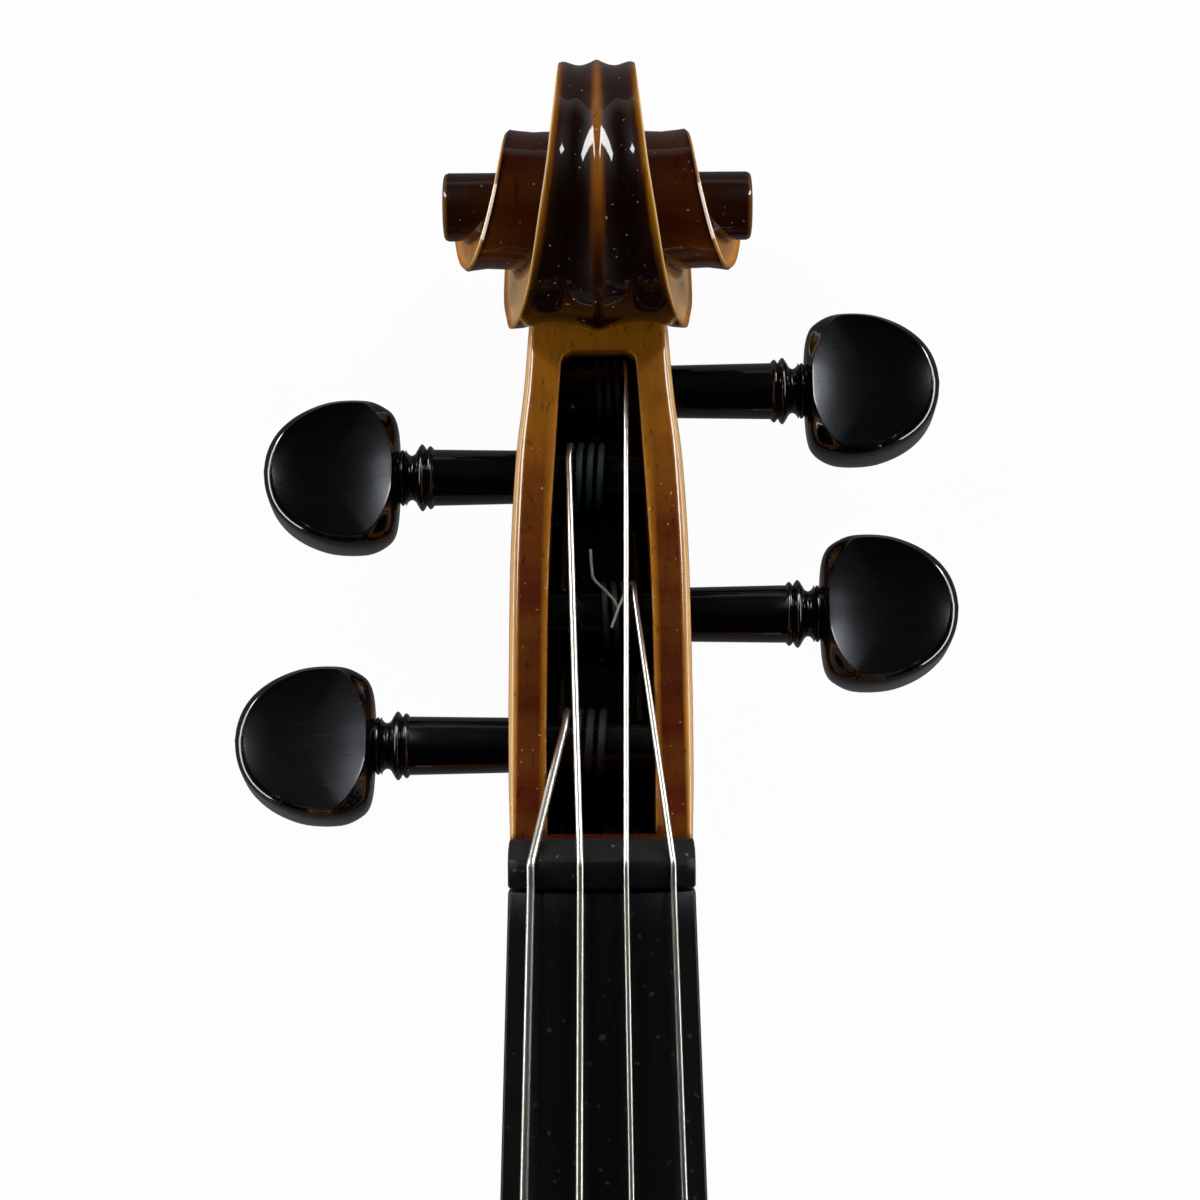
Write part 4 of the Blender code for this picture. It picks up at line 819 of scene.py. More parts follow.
def scroll_skin():
    skin = ScrollSkin()

    def radius(turn):
        return smooth_through(TURN_RADII, turn)

    def chamfer(turn, side):
        if turn == LAST_TURN:
            return eye_rim(EYE_TURN, side, 0)
        gold_and_light = smooth_through(EDGE_WEAR_AND_HIGHLIGHT, turn)
        return skin.point(("c", turn, side), turn, radius(turn) - CHAMFER, side * turn_width(turn), gold_and_light)

    def band(turn, side, i):
        share = band_share(turn, i)
        lower = flute(share, smooth_through(FLUTE_DEPTHS, turn))
        x = side * (turn_width(turn) - CHAMFER_OUT) * share
        # The ridge is lightened: some wear, and painted light where it faces the lamps.
        worn = (0.38, 0.34, 0.16, 0.0)[i] * smooth_through(RIDGE_WEAR_AND_LIGHT, turn) if i < 4 else 0.0
        # The band's outer margin: wear and a painted highlight.
        if i == BAND_STEPS:
            worn = smooth_through(EDGE_MARGIN_WEAR_AND_HIGHLIGHT, turn)
        # Painted shade, partly pooled varnish: each flute darkens with its depth, and past a quarter turn the whole
        # band darkens as it turns down towards the lip, away from the lamps.
        shade = min(1.0, lower / 0.0005) * smooth_through(((-90, 0.5), (20, 0.8), (100, 1.0), (270, 1.0)), turn)
        shade = max(shade, smooth_through(((-90, 0.0), (95, 0.0), (130, 0.8), (215, 1.0), (270, 1.0)), turn))
        return skin.point(("b", turn, side * (i > 0), i), turn, radius(turn) - lower, x, worn, shade)

    def base(turn, side):
        if turn == JOINED:
            return band(JOINED, side, TOP_STEPS + CORNER_STEPS)
        # The corner where a turn sits on the one inside it: painted shade.
        return skin.point(("s", turn, side), turn, radius(turn), side * side_floor(turn - 360), 0.0, 0.8)

    def wall(turn, side, i):
        """Points up the wall of a turn, from the side of the turn below it to its own edge."""
        if i == 0:
            return base(turn, side)
        if i == len(WALL_SHARES) - 1:
            return band(turn, side, BAND_STEPS)
        low = side_floor(turn - 360) if turn > JOINED else side_floor(FIRST_TURN)
        x = mix(low, turn_width(turn) - CHAMFER_OUT, WALL_SHARES[i])
        bowed = 0.0004 * math.sin(math.pi * WALL_SHARES[i])
        # Up the wall the painted shade fades, from the corner at its foot to its edge.
        return skin.point(("w", turn, side, i), turn, radius(turn) - bowed, side * x, 0.0, (0.9, 0.75, 0.6, 0.5)[i])

    def eye_foot(turn, side):
        if turn == LAST_TURN:
            return eye_rim(EYE_TURN, side, 0)
        # The foot of the eye, in its corner: painted shade.
        return skin.point(("f", turn, side), turn, EYE_RADIUS - CHAMFER, side * side_floor(turn), 0.0, 0.8)

    def eye_rim(turn, side, i):
        """Rings of the eye's rounded end, from its side to its slightly domed face."""
        shrink, out, worn = EYE_RINGS[i]
        x = side * (turn_width(LAST_TURN) + out)
        # The eye is painted nearly as dark as the darkest corner.
        return skin.point(("e", turn, side, i), turn, EYE_RADIUS - CHAMFER - shrink, x, worn, 0.95)

    def side_point(turn, side, i):
        """Point i of the hollowed side of a turn, from the chamfer 0 to the next turn in."""
        if i == 0:
            return chamfer(turn, side)
        inner = radius(turn + 360) if turn <= EYE_TURN else EYE_RADIUS - CHAMFER
        if i == SIDE_STEPS:
            return base(turn + 360, side) if turn <= EYE_TURN else eye_foot(turn, side)
        share = i / SIDE_STEPS
        hollow = SIDE_HOLLOW * math.sin(math.pi * share**0.7 / 2) + 0.0005 * math.sin(math.pi * share)
        x = turn_width(turn) - min(1.0, (LAST_TURN - turn) / 200) * hollow
        place = mix(radius(turn) - CHAMFER, inner, share)
        # Lightened by the side table, mostly painted light, and darkened towards the next turn in, as painted shade in
        # that corner.
        side_gold_and_light = smooth_through(SIDE_GOLD_AND_LIGHT, turn)
        return skin.point(("d", turn, side, i), turn, place, side * x, side_gold_and_light, 0.5 * share**3)

    for side in (-1, 1):
        for turn in range(FIRST_TURN, LAST_TURN, TURN_STEP):
            after = turn + TURN_STEP
            edges = (band(turn, side, BAND_STEPS), band(after, side, BAND_STEPS))
            skin.face(*edges, chamfer(after, side), chamfer(turn, side))
            if after == LAST_TURN:
                skin.face(*[side_point(turn, side, i) for i in range(SIDE_STEPS + 1)], chamfer(after, side))
            else:
                for i in range(SIDE_STEPS):
                    ends = [side_point(after, side, i + 1), side_point(turn, side, i + 1)]
                    if turn == EYE_TURN and i == SIDE_STEPS - 1:
                        ends.insert(1, eye_foot(turn, side))
                    skin.face(side_point(turn, side, i), side_point(after, side, i), *ends)
            if turn >= JOINED:
                for i in range(len(WALL_SHARES) - 1):
                    row = (wall(turn, side, i), wall(after, side, i))
                    skin.face(*row, wall(after, side, i + 1), wall(turn, side, i + 1))
            else:
                for i in range(BAND_STEPS):
                    row = (band(turn, side, i), band(turn, side, i + 1))
                    skin.face(*row, band(after, side, i + 1), band(after, side, i))
            if turn >= EYE_TURN:
                near = after if after < LAST_TURN else EYE_TURN
                skin.face(eye_foot(turn, side), eye_foot(after, side), eye_rim(near, side, 0), eye_rim(turn, side, 0))
                for i in range(len(EYE_RINGS) - 1):
                    row = (eye_rim(turn, side, i), eye_rim(near, side, i))
                    skin.face(*row, eye_rim(near, side, i + 1), eye_rim(turn, side, i + 1))
        end = [wall(LAST_TURN, side, i) for i in range(len(WALL_SHARES))]
        skin.face(*end, chamfer(LAST_TURN, side), eye_foot(EYE_TURN, side))
        skin.face(*[eye_rim(turn, side, len(EYE_RINGS) - 1) for turn in range(EYE_TURN, LAST_TURN, TURN_STEP)])
    skin.seam = []
    for side in (1, -1):
        half = [band(JOINED, side, i) for i in range(TOP_STEPS + CORNER_STEPS + 1)]
        half += [side_point(FIRST_TURN, side, i) for i in range(SIDE_STEPS - 1, -1, -1)]
        half += [band(FIRST_TURN, side, i) for i in range(BAND_STEPS, -1, -1)]
        skin.seam.append(half)
    return skin


print("scroll skin:", len(scroll_skin().points), "points")


# %% [markdown]
# The skin is sewn together, and then two kinds of cutter go in: the hollow of the pegbox, whose mouth has
# rounded corners and a thin bevel, and one conical bore for each peg, a little wider than the peg, so that
# the peg turns freely. The same Boolean could be left as a modifier, but a finished mesh can be measured.

# %% Sew the head and cut its hollow and bores
PEG_STATIONS = {
    "peg_c": (-1, 0.0149, 0.0125, 0.0270), "peg_a": (1, 0.0340, 0.0124, 0.0266),
    "peg_g": (-1, 0.0550, 0.0116, 0.0240), "peg_d": (1, 0.0681, 0.0103, 0.0252),
}
PEG_AXIS_DEPTH = 0.0080
PEG_GAP = 0.0003
MOUTH_ROWS = (
    (0.0003, 0.0075, 0.0170, 0.0000), (0.0150, 0.0076, 0.0190, 0.0000), (0.0400, 0.0072, 0.0175, 0.0000),
    (0.0600, 0.0061, 0.0152, 0.0012), (0.0716, 0.0053, 0.0135, 0.0032),
)
MOUTH_CORNER = 0.0018
MOUTH_BEVEL = 0.00025


def peg_radius(place):
    """Radius of a peg's shaft at a distance from the middle of the pegbox, towards its head."""
    return 0.0037 + place / 60


def mouth_cutter():
    end = MOUTH_ROWS[-1][0]
    places = steps_between(MOUTH_ROWS[0][0], end - MOUTH_CORNER, 30)
    places += [end - MOUTH_CORNER * (1 - math.sin(math.pi / 2 * i / 6)) for i in range(1, 7)]
    rings = []
    for along in places:
        half, deep, lean = smooth_through(MOUTH_ROWS, along)
        past = max(0.0, along - end + MOUTH_CORNER)
        half -= MOUTH_CORNER - math.sqrt(max(0.0, MOUTH_CORNER**2 - past**2))
        right = [(half + 0.003 + MOUTH_BEVEL, 0.003), (half, -MOUTH_BEVEL), (half * 0.985, -deep * 0.5)]
        for i in range(5):
            turn = math.pi / 2 * i / 4
            right.append((half * 0.95 - 0.002 * (1 - math.cos(turn)), 0.002 - deep - 0.002 * math.sin(turn)))
        ring = right + [(-x, up) for x, up in reversed(right)]
        rings.append([head(x, along - lean * up / deep, up) for x, up in ring])
    return loft(rings)


def bore_cutter(side, along):
    rings = []
    for place in (-0.018, 0.018):
        radius = peg_radius(place) + PEG_GAP
        turns = [2 * math.pi * i / 48 for i in range(48)]
        around = [(radius * math.cos(t), radius * math.sin(t)) for t in turns]
        rings.append([head(side * place, along + a, b - PEG_AXIS_DEPTH) for a, b in around])
    return loft(rings)


def head_mesh():
    skin = scroll_skin()
    seam = skin.seam[0] + skin.seam[1][-2:0:-1]
    rings = neck_rings() + chin_rings()
    worn, shade = [], []
    for ring in rings:
        worn += [0.0] * len(ring)
        shade += [0.0] * len(ring)
    for place in steps_between(0, 13, 92)[:-1]:
        right = pegbox_half(place)
        share = max(0.0, (place - 9.2) / 3.8)
        share = share * share * (3 - 2 * share)
        goal = [skin.points[number][0] for number in skin.seam[0]]
        right = [(mix(x, far, share), y, z) for (x, (y, z)), far in zip(right, goal)]
        rings.append(right + [(-x, y, z) for x, y, z in right[-2:0:-1]])
        row = [0.0] * len(right)
        dark = [0.0] * len(right)
        fade = 1 - max(0.0, min(1.0, (place - 8.3) / 2))
        # The front face is lightened towards the scroll: painted light where the scroll shades the throat, with some
        # wear.
        gold_and_light = smooth_through(((0, 0.10), (0.4, 0.02), (4, 0.02), (4.7, 0.10), (5.6, 0.34), (6.6, 0.55), (7.6, 0.62), (13, 0.4)), place)
        row[: TOP_STEPS + 1] = [gold_and_light] * (TOP_STEPS + 1)
        # Its rounded upper edges: lighter by wear and by painted highlights from the side lamps.
        for i, value in enumerate((0.65, 0.76, 0.76, 0.5, 0.3), TOP_STEPS + 1):
            row[i] = value * (fade if i < TOP_STEPS + CORNER_STEPS + 1 else 1)
        # The back chamfers: pale painted highlight lines.
        for i in (TOP_STEPS + CORNER_STEPS + CHEEK_STEPS, TOP_STEPS + CORNER_STEPS + CHEEK_STEPS + 1):
            row[i] = 0.9
        # The front face is painted darker near the nut, fading out towards the throat, and under the scroll's lip
        # painted shade darkens it fully.
        for i in range(TOP_STEPS + CORNER_STEPS + 1):
            dark[i] = max(1 - fade, smooth_through(((0, 0.1), (2, 0.35), (4, 0.4), (5.5, 0.0), (13, 0.0)), place))
        worn += row + row[-2:0:-1]
        shade += dark + dark[-2:0:-1]
    points = [point for ring in rings for point in ring]
    size, start = len(seam), len(points)
    faces = [tuple(range(size))]
    for row in range(len(rings) - 1):
        for i in range(size):
            a, b = row * size + i, row * size + (i + 1) % size
            faces.append((a, b, b + size, a + size))
    last = start - size
    for i in range(size):
        j = (i + 1) % size
        faces.append((last + i, last + j, start + seam[j], start + seam[i]))
    faces += [tuple(start + number for number in face) for face in skin.faces]
    points += skin.points
    return points, faces, worn + skin.worn, shade + skin.hollow


def make_head():
    points, faces, worn, shade = head_mesh()
    whole_head = mesh_from(points, faces)
    loose = sum(1 for e in bmesh_edges(whole_head) if e != 2)
    print("head before cutting:", len(whole_head.vertices), "points, open edges:", loose)
    tools = [mouth_cutter()] + [bore_cutter(side, along) for side, along, _, _ in PEG_STATIONS.values()]
    made = cut(whole_head, tools)
    tree = KDTree(len(points))
    for i, (x, y, z) in enumerate(points):
        tree.insert((x, y + BODY_SHIFT, z), i)
    tree.balance()
    rubbed_and_lit, recess = [], []
    for vertex in made.vertices:
        _, i, far = tree.find(vertex.co)
        fresh = far > 1.5e-5
        _, along, up = along_head(vertex.co)
        rubbed_and_lit.append(0.0 if fresh else worn[i])
        inside = fresh and abs(vertex.co.x) < 0.0085
        if inside and up > -1.5 * MOUTH_BEVEL and along > 0.002:
            rubbed_and_lit[-1] = 0.5
        recess.append((1.0 if up < -1.5 * MOUTH_BEVEL else 0.0) if inside else shade[i])
    paint_mask(made, "worn", rubbed_and_lit)
    paint_mask(made, "hollow", recess)
    piece("head", made, HEAD_MAPLE, "neck_and_scroll", sharp=31)


def bmesh_edges(mesh):
    """How many faces meet at each edge: two everywhere on a closed skin."""
    work = bmesh.new()
    work.from_mesh(mesh)
    counts = [len(edge.link_faces) for edge in work.edges]
    work.free()
    return counts


def along_head(spot):
    """Back from a place in the room to (x, along, above) of the head."""
    y, z = spot.y - BODY_SHIFT - HEAD_Y, spot.z - HEAD_Z
    cosine, sine = math.cos(PEGBOX_SLOPE), math.sin(PEGBOX_SLOPE)
    return spot.x, y * cosine - z * sine, y * sine + z * cosine


make_head()
# %% [markdown]
# ## The pegs
# A peg is turned on a lathe, with two beads and a cove below its head, and the head is then filed flat,
# hollowed on both faces for thumb and finger, and rounded off at its outer end. The shaft could be a plain
# cylinder, but a real one tapers one in thirty so that pushing it in makes it grip. Shaft and head are made
# apart and joined into one body by a Boolean union, as they grow out of one piece of ebony.

# %% Pegs
PEG_TILTS = {"peg_c": 18, "peg_a": 15, "peg_g": 15, "peg_d": 16}
PEG_NECK = 0.0051
THUMB_LENGTH = 0.0195
THUMB_HALF_WIDTH = 0.0112
THUMB_HALF_THICK = 0.00475
THUMB_DISH = 0.0013
THUMB_OUTLINE = (
    (-0.010, 0.00), (-0.006, 0.32), (0.004, 0.60), (0.030, 0.78), (0.085, 0.89), (0.190, 0.975), (0.330, 1.00),
    (0.490, 0.972), (0.630, 0.890), (0.760, 0.765), (0.870, 0.600), (0.945, 0.410), (0.986, 0.200), (1.000, 0.00),
)


def thumb_outline():
    """Half the head's outline seen from above, as evenly laid points from the neck to the outer end."""
    rows = [(i, x, y) for i, (x, y) in enumerate(THUMB_OUTLINE)]
    half = [smooth_through(rows, place) for place in steps_between(0, len(rows) - 1, 39)]
    half = [(x * THUMB_LENGTH, y * THUMB_HALF_WIDTH) for x, y in half]
    return half + [(x, -y) for x, y in half[-2:0:-1]]


def thumb(start, carry):
    """The head: two dished oval faces and a thick rim, crisp beside the neck and bevelled at the outer end."""
    middle = 0.52 * THUMB_LENGTH
    outline = thumb_outline()
    face = []
    for x, y in outline:
        far = math.hypot(x - middle, y)
        oval = 1 / math.hypot((x - middle) / far / (0.485 * THUMB_LENGTH), y / far / 1.08 / THUMB_HALF_WIDTH)
        share = min(0.90 - 0.04 * max(0.0, (x - middle) / far), oval / far)
        face.append((middle + share * (x - middle), share * y))
    # Rows: share of the way from the face's edge to the outline, and how far below the face, near and far end
    rim = ((0.10, 0.0003, 0.05, 0.00002), (0.35, 0.0008, 0.40, 0.00038), (0.65, 0.0014, 0.75, 0.00075))
    rim += ((0.86, 0.0021, 0.92, 0.0013), (0.97, 0.0031, 0.985, 0.0022), (1.0, 0.0042, 1.0, 0.0036))
    upper = []
    for share in (0.04, 0.22, 0.40, 0.56, 0.70, 0.80, 0.88, 0.94, 0.98, 1.0):
        level = THUMB_HALF_THICK - THUMB_DISH * (1 - share**2.4)
        upper.append([(middle + share * (x - middle), share * y, level) for x, y in face])
    for near, near_drop, far, far_drop in rim:
        ring = []
        for (x, y), (fx, fy) in zip(outline, face):
            out = 0.5 - 0.5 * math.cos(math.pi * max(0.0, min(1.0, (x / THUMB_LENGTH - 0.25) / 0.65)))
            q, drop = mix(near, far, out), mix(near_drop, far_drop, out)
            ring.append((mix(fx, x, q), mix(fy, y, q), THUMB_HALF_THICK - drop))
        upper.append(ring)
    rings = upper + [[(x, y, 0.0) for x, y in outline]] + [[(x, y, -z) for x, y, z in ring] for ring in upper[::-1]]
    return loft([[carry(Vector((start + x, y, z))) for x, y, z in ring] for ring in rings])


def turned(profile, carry, segments=72):
    rings = []
    for x, radius in profile:
        turns = [2 * math.pi * i / segments for i in range(segments)]
        rings.append([carry(Vector((x, radius * math.cos(t), radius * math.sin(t)))) for t in turns])
    return loft(rings)


def bead(start, end, low, high):
    """A rounded ring on a lathe-turned profile."""
    found = []
    for i in range(9):
        turn = math.pi * i / 8
        found.append((mix(start, end, i / 8 + 0.04 * math.sin(2 * turn)), mix(low, high, math.sin(turn) ** 0.8)))
    return found


def make_peg(name, side, along, tip, collar):
    tilt = Matrix.Rotation(-math.radians(PEG_TILTS[name]), 4, "X")
    facing = Matrix.Identity(4) if side > 0 else Matrix.Rotation(math.pi, 4, "Z")
    place = Matrix.Translation(head(0, along, -PEG_AXIS_DEPTH)) @ tilt @ facing
    carry = place.__matmul__
    end = peg_radius(-tip)
    profile = [(-tip, 0.0008), (-tip, end - 0.0006), (-tip + 0.0002, end - 0.0002), (-tip + 0.0006, end)]
    profile += [(x, peg_radius(x)) for x in steps_between(-tip + 0.002, collar - 0.0001, 12)]
    profile += bead(collar, collar + 0.00105, 0.0041, 0.00462)
    profile += bead(collar + 0.00110, collar + 0.00235, 0.0041, 0.0049)
    for i in range(11):
        share = i / 10
        profile.append((mix(collar + 0.0024, collar + 0.0041, share), 0.0041 - 0.00085 * math.sin(math.pi * share) ** 0.7))
    profile += bead(collar + 0.00415, collar + 0.0050, 0.0036, 0.0041)
    profile += [(collar + PEG_NECK + 0.0030, 0.0034), (collar + PEG_NECK + 0.0060, 0.0026)]
    made = cut(turned(profile, carry), [thumb(collar + PEG_NECK, carry)], "UNION")
    up = place.to_3x3() @ Vector((0, 0, 1))
    edge = [1 - max(0.0, min(1.0, (abs(v.normal.dot(up)) - 0.88) / 0.08)) for v in made.vertices]
    paint_mask(made, "worn", edge)
    piece(name + "_turned", made, DULL_EBONY if name == "peg_c" else PEG_EBONY, name, name, 40)


for peg, station in PEG_STATIONS.items():
    make_peg(peg, *station)

# %% [markdown]
# ## Fingerboard and nut
# The fingerboard is one long bar of ebony, arched across so that the bow can reach each string alone. The
# nut is a short ebony bar across its end. Its top falls off steeply towards the pegbox, so that each string
# leaves it at a clean edge. Arch and edges could be a bevel modifier on a block; here they are part of the
# cross-section, which keeps them even along the taper.

# %% Board and nut
BOARD_LENGTH = 0.308
BOARD_HALF_NUT, BOARD_HALF_END = 0.01275, 0.0215
BOARD_RADIUS = 0.042
BOARD_EDGE = 0.0050
NUT_LENGTH = 0.0068
NUT_RISE = 0.0007
GAP = 0.0003


def board_half(y):
    return mix(BOARD_HALF_NUT, BOARD_HALF_END, (NUT_Y - y) / BOARD_LENGTH)


def board_top(x, y):
    half = board_half(y)
    arch = math.sqrt(BOARD_RADIUS**2 - x * x) - math.sqrt(BOARD_RADIUS**2 - half * half)
    return glue_plane(y) + BOARD_EDGE + arch


def rounded_slab(half, low, top, round_by):
    """Cross-section of an arched bar as (x, z), with its four long edges rounded."""
    found = []
    for i in range(21):
        x = (half - round_by) * (1 - i / 10)
        found.append((x, top(x)))
    for side in (-1, 1):
        corner = []
        for i in range(5):
            turn = math.pi / 2 * i / 4
            x = half - round_by * (1 - math.cos(turn))
            corner.append((side * x, top(half) - round_by * (1 - math.sin(turn))))
        corner = corner[::-1]
        corner += [(side * half, mix(top(half), low, 0.5)), (side * half, low + 0.0004), (side * (half - 0.0003), low)]
        found = found + corner if side < 0 else corner[::-1] + found
    return found


def bar(stops, round_by):
    """A loft of arched sections along y from rows (y, half width, lowest, top function)."""
    return loft([[(x, y, z) for x, z in rounded_slab(half, low, top, round_by)] for y, half, low, top in stops])


def make_board():
    start, end = NUT_Y - BOARD_LENGTH, NUT_Y - GAP
    places = [start, start + 0.0004, start + 0.0012] + steps_between(start + 0.003, end - 0.0002, 60) + [end]
    stops = []
    for y in places:
        ease = max(0.0, 1 - (y - start) / 0.0012) ** 2 * 0.0007 + (0.0001 if y == end else 0)
        stops.append(
            (y, board_half(y) - ease, glue_plane(y) + GAP + ease * 0.6, lambda x, y=y, e=ease: board_top(x, y) - e)
        )
    made = bar(stops, 0.0006)
    paint_mask(made, "dusty", [0.10] * len(made.vertices))
    piece("fingerboard_arched", made, BOARD_EBONY, "fingerboard", sharp=50)


# Rows along the nut's length: distance from the board, drop of its top, drawn in at its ends
NUT_ROWS = (
    (0.0000, 0.00045, 0.0002), (0.0003, 0.00010, 0.0000), (0.0009, 0.00000, 0.0000), (0.0028, 0.00006, 0.0000),
    (0.0036, 0.00030, 0.0000), (0.0039, 0.00065, 0.0000), (0.0050, 0.00220, 0.0000), (0.0059, 0.00345, 0.0001),
    (0.0062, 0.00400, 0.0002),
)


def string_tube(route, radius, segments=16):
    """A round cord along a route, its sections turned from one to the next without twisting."""
    rings = []
    across = Vector((1, 0, 0))
    for i, spot in enumerate(route):
        before, after = route[max(i - 1, 0)], route[min(i + 1, len(route) - 1)]
        way = (after - before).normalized()
        across = (across - way * across.dot(way)).normalized()
        up = way.cross(across)
        turns = [2 * math.pi * k / segments for k in range(segments)]
        rings.append([spot + across * (radius * math.cos(t)) + up * (radius * math.sin(t)) for t in turns])
    return rings


# Strings: diameter, x at nut and bridge, height over the board's end, peg, where its turns start, their number
STRINGS = {
    "string_c": (0.00115, -0.0096, -0.0190, 0.0060, "peg_c", -0.0050, 3.2),
    "string_g": (0.00095, -0.0029, -0.0060, 0.0056, "peg_g", -0.0044, 3.2),
    "string_d": (0.00075, 0.0033, 0.0068, 0.0052, "peg_d", 0.0040, 3.2),
    "string_a": (0.00085, 0.0097, 0.0194, 0.0045, "peg_a", 0.0050, 3.2),
}
BRIDGE_Y = 0.185
NUT_CREST = 0.0034


def string_bearings(name):
    """Where a string bears: on the bridge, on the nut's front edge and on its crest."""
    diameter, nut_x, bridge_x, clearance = STRINGS[name][:4]
    lift = diameter / 2 + GAP
    front = Vector((nut_x, NUT_Y + GAP, board_top(nut_x, NUT_Y) + NUT_RISE + lift))
    crest = Vector((nut_x, NUT_Y + GAP + NUT_CREST, front.z - 0.0001))
    board_end = NUT_Y - BOARD_LENGTH
    share = (board_end - front.y) / (BRIDGE_Y - front.y)
    height = board_top(mix(nut_x, bridge_x, share), board_end) + clearance
    return Vector((bridge_x, BRIDGE_Y, front.z + (height - front.z) / share + GAP - 0.00002)), front, crest


def string_coil(name):
    """The turns of a string round its peg, starting where it touches down."""
    diameter, _, _, _, peg, lane, loops = STRINGS[name]
    side, along, _, _ = PEG_STATIONS[peg]
    lift = diameter / 2 + GAP
    crest = string_bearings(name)[2]
    centre = Vector(head(0, along, -PEG_AXIS_DEPTH))
    away = Vector((centre.y - crest.y, centre.z - crest.z))
    start = math.atan2(-away.y, -away.x) - math.acos((peg_radius(side * lane) + lift) / away.length)
    pitch = diameter + 0.00060
    coil = []
    for i in range(round(loops * 48) + 1):
        turn = start - 2 * math.pi * i / 48
        x = lane - side * pitch * i / 48
        radius = peg_radius(side * x) + lift
        coil.append(Vector((x, centre.y + radius * math.cos(turn), centre.z + radius * math.sin(turn))))
    return coil


def make_nut():
    stops = []
    for back, drop, narrow in NUT_ROWS:
        y = NUT_Y + GAP + back
        high = NUT_RISE + 0.00042 - drop
        top = lambda x, high=high: board_top(x, NUT_Y) + high
        stops.append((y, BOARD_HALF_NUT - narrow, glue_plane(y) + GAP, top))
    made = bar(stops, 0.00035)
    slots = []
    for name, row in STRINGS.items():
        _, front, crest = string_bearings(name)
        route = [front - Vector((0, 0.004, 0)), front, crest, string_coil(name)[0]]
        slots.append(loft(string_tube(route, row[0] / 2 + 0.00024)))
    for side in (-1, 1):
        low = [(side * (BOARD_HALF_NUT + x), y, z) for x, y, z in FACET]
        slots.append(mesh_from(low, [(0, 1, 2), (0, 1, 3), (1, 2, 3), (0, 2, 3)]))
    made = cut(made, slots)
    # The nut's slope behind its crest is painted greyer and duller: dust, and a painted sheen of light from beyond the
    # scroll that the slope would mirror.
    greying = []
    for vertex in made.vertices:
        back = vertex.co.y - BODY_SHIFT - NUT_Y - GAP
        greying.append(0.85 if back > 0.0037 else 0.16)
    paint_mask(made, "dusty", greying)
    piece("nut_slotted", made, NUT_EBONY, "nut", sharp=25)


NUT_TOP = board_top(BOARD_HALF_NUT, NUT_Y) + NUT_RISE + 0.0004
FACET = (
    (-0.0013, NUT_Y + 0.0036, NUT_TOP + 0.0002), (0.0006, NUT_Y - 0.0006, NUT_TOP + 0.0006),
    (0.0006, NUT_Y + 0.0105, NUT_TOP - 0.0034), (0.0012, NUT_Y + 0.0034, NUT_TOP + 0.0030),
)

make_board()
make_nut()

# %% [markdown]
# ## The strings
# Each string is held in the tailpiece, crosses the fret of the tailpiece, the bridge and the nut, and ends in
# three turns round its peg. It is taut all the way, so it needs no hanging curve: short bends round each
# bearing point are enough. The distance along the string is painted on the mesh, and the material draws the
# flat winding from it.

# %% Strings
TAIL_START, TAIL_LENGTH = 0.012, 0.128


def tail_top(x, y):
    """Height of the tailpiece's arched top."""
    return mix(0.0735, 0.0975, (y - TAIL_START) / TAIL_LENGTH) - x * x / 0.080


def eased(route, reach):
    """The route with each of its corners rounded off over a short reach."""
    found = [route[0]]
    for before, corner, after in zip(route, route[1:], route[2:]):
        a = corner + (before - corner).normalized() * min(reach, (before - corner).length / 2)
        b = corner + (after - corner).normalized() * min(reach, (after - corner).length / 2)
        found += [a * (1 - t) ** 2 + corner * (2 * t * (1 - t)) + b * t * t for t in steps_between(0, 1, 6)]
    return found + [route[-1]]


def string_route(name):
    diameter, _, bridge_x = STRINGS[name][:3]
    bridge, front, crest = string_bearings(name)
    hole_x, hole_y = bridge_x * 0.78, TAIL_START + TAIL_LENGTH - 0.0130
    fret_y = TAIL_START + TAIL_LENGTH - 0.0045
    fret_x = mix(hole_x, bridge_x, 0.12)
    fret = Vector((fret_x, fret_y, tail_top(fret_x, fret_y) + 0.0014 + 2 * GAP + diameter / 2))
    bend = Vector((hole_x, hole_y + 0.0008, tail_top(hole_x, hole_y) + 0.0006))
    end = Vector((hole_x, hole_y, tail_top(hole_x, hole_y) - 0.0020))
    coil = string_coil(name)
    route = eased([end, bend, fret, bridge, front, crest, coil[0]], 0.0006)
    return route[:-1] + coil


# The bare ends of the A string, bent up out of its turns on the peg: x, along the pegbox, above its face
LOOSE_ENDS = {
    "string_a": (
        (
            (0.0026, 0.0334, -0.00285), (0.0021, 0.0345, -0.0024), (0.0006, 0.0361, -0.0020),
            (-0.0010, 0.0377, -0.0022), (-0.0012, 0.0396, -0.0020), (-0.0013, 0.0418, -0.0012),
        ),
        ((0.0042, 0.0376, -0.0043), (0.0036, 0.0360, -0.0030), (0.0028, 0.0338, -0.0021), (0.0016, 0.0305, -0.0023)),
    ),
}
LOOSE_RADIUS = 0.0002


def together(meshes):
    """Several closed meshes as one, with their points in the same order."""
    work = bmesh.new()
    for mesh in meshes:
        work.from_mesh(mesh)
    made = bpy.data.meshes.new("piece")
    work.to_mesh(made)
    work.free()
    return made


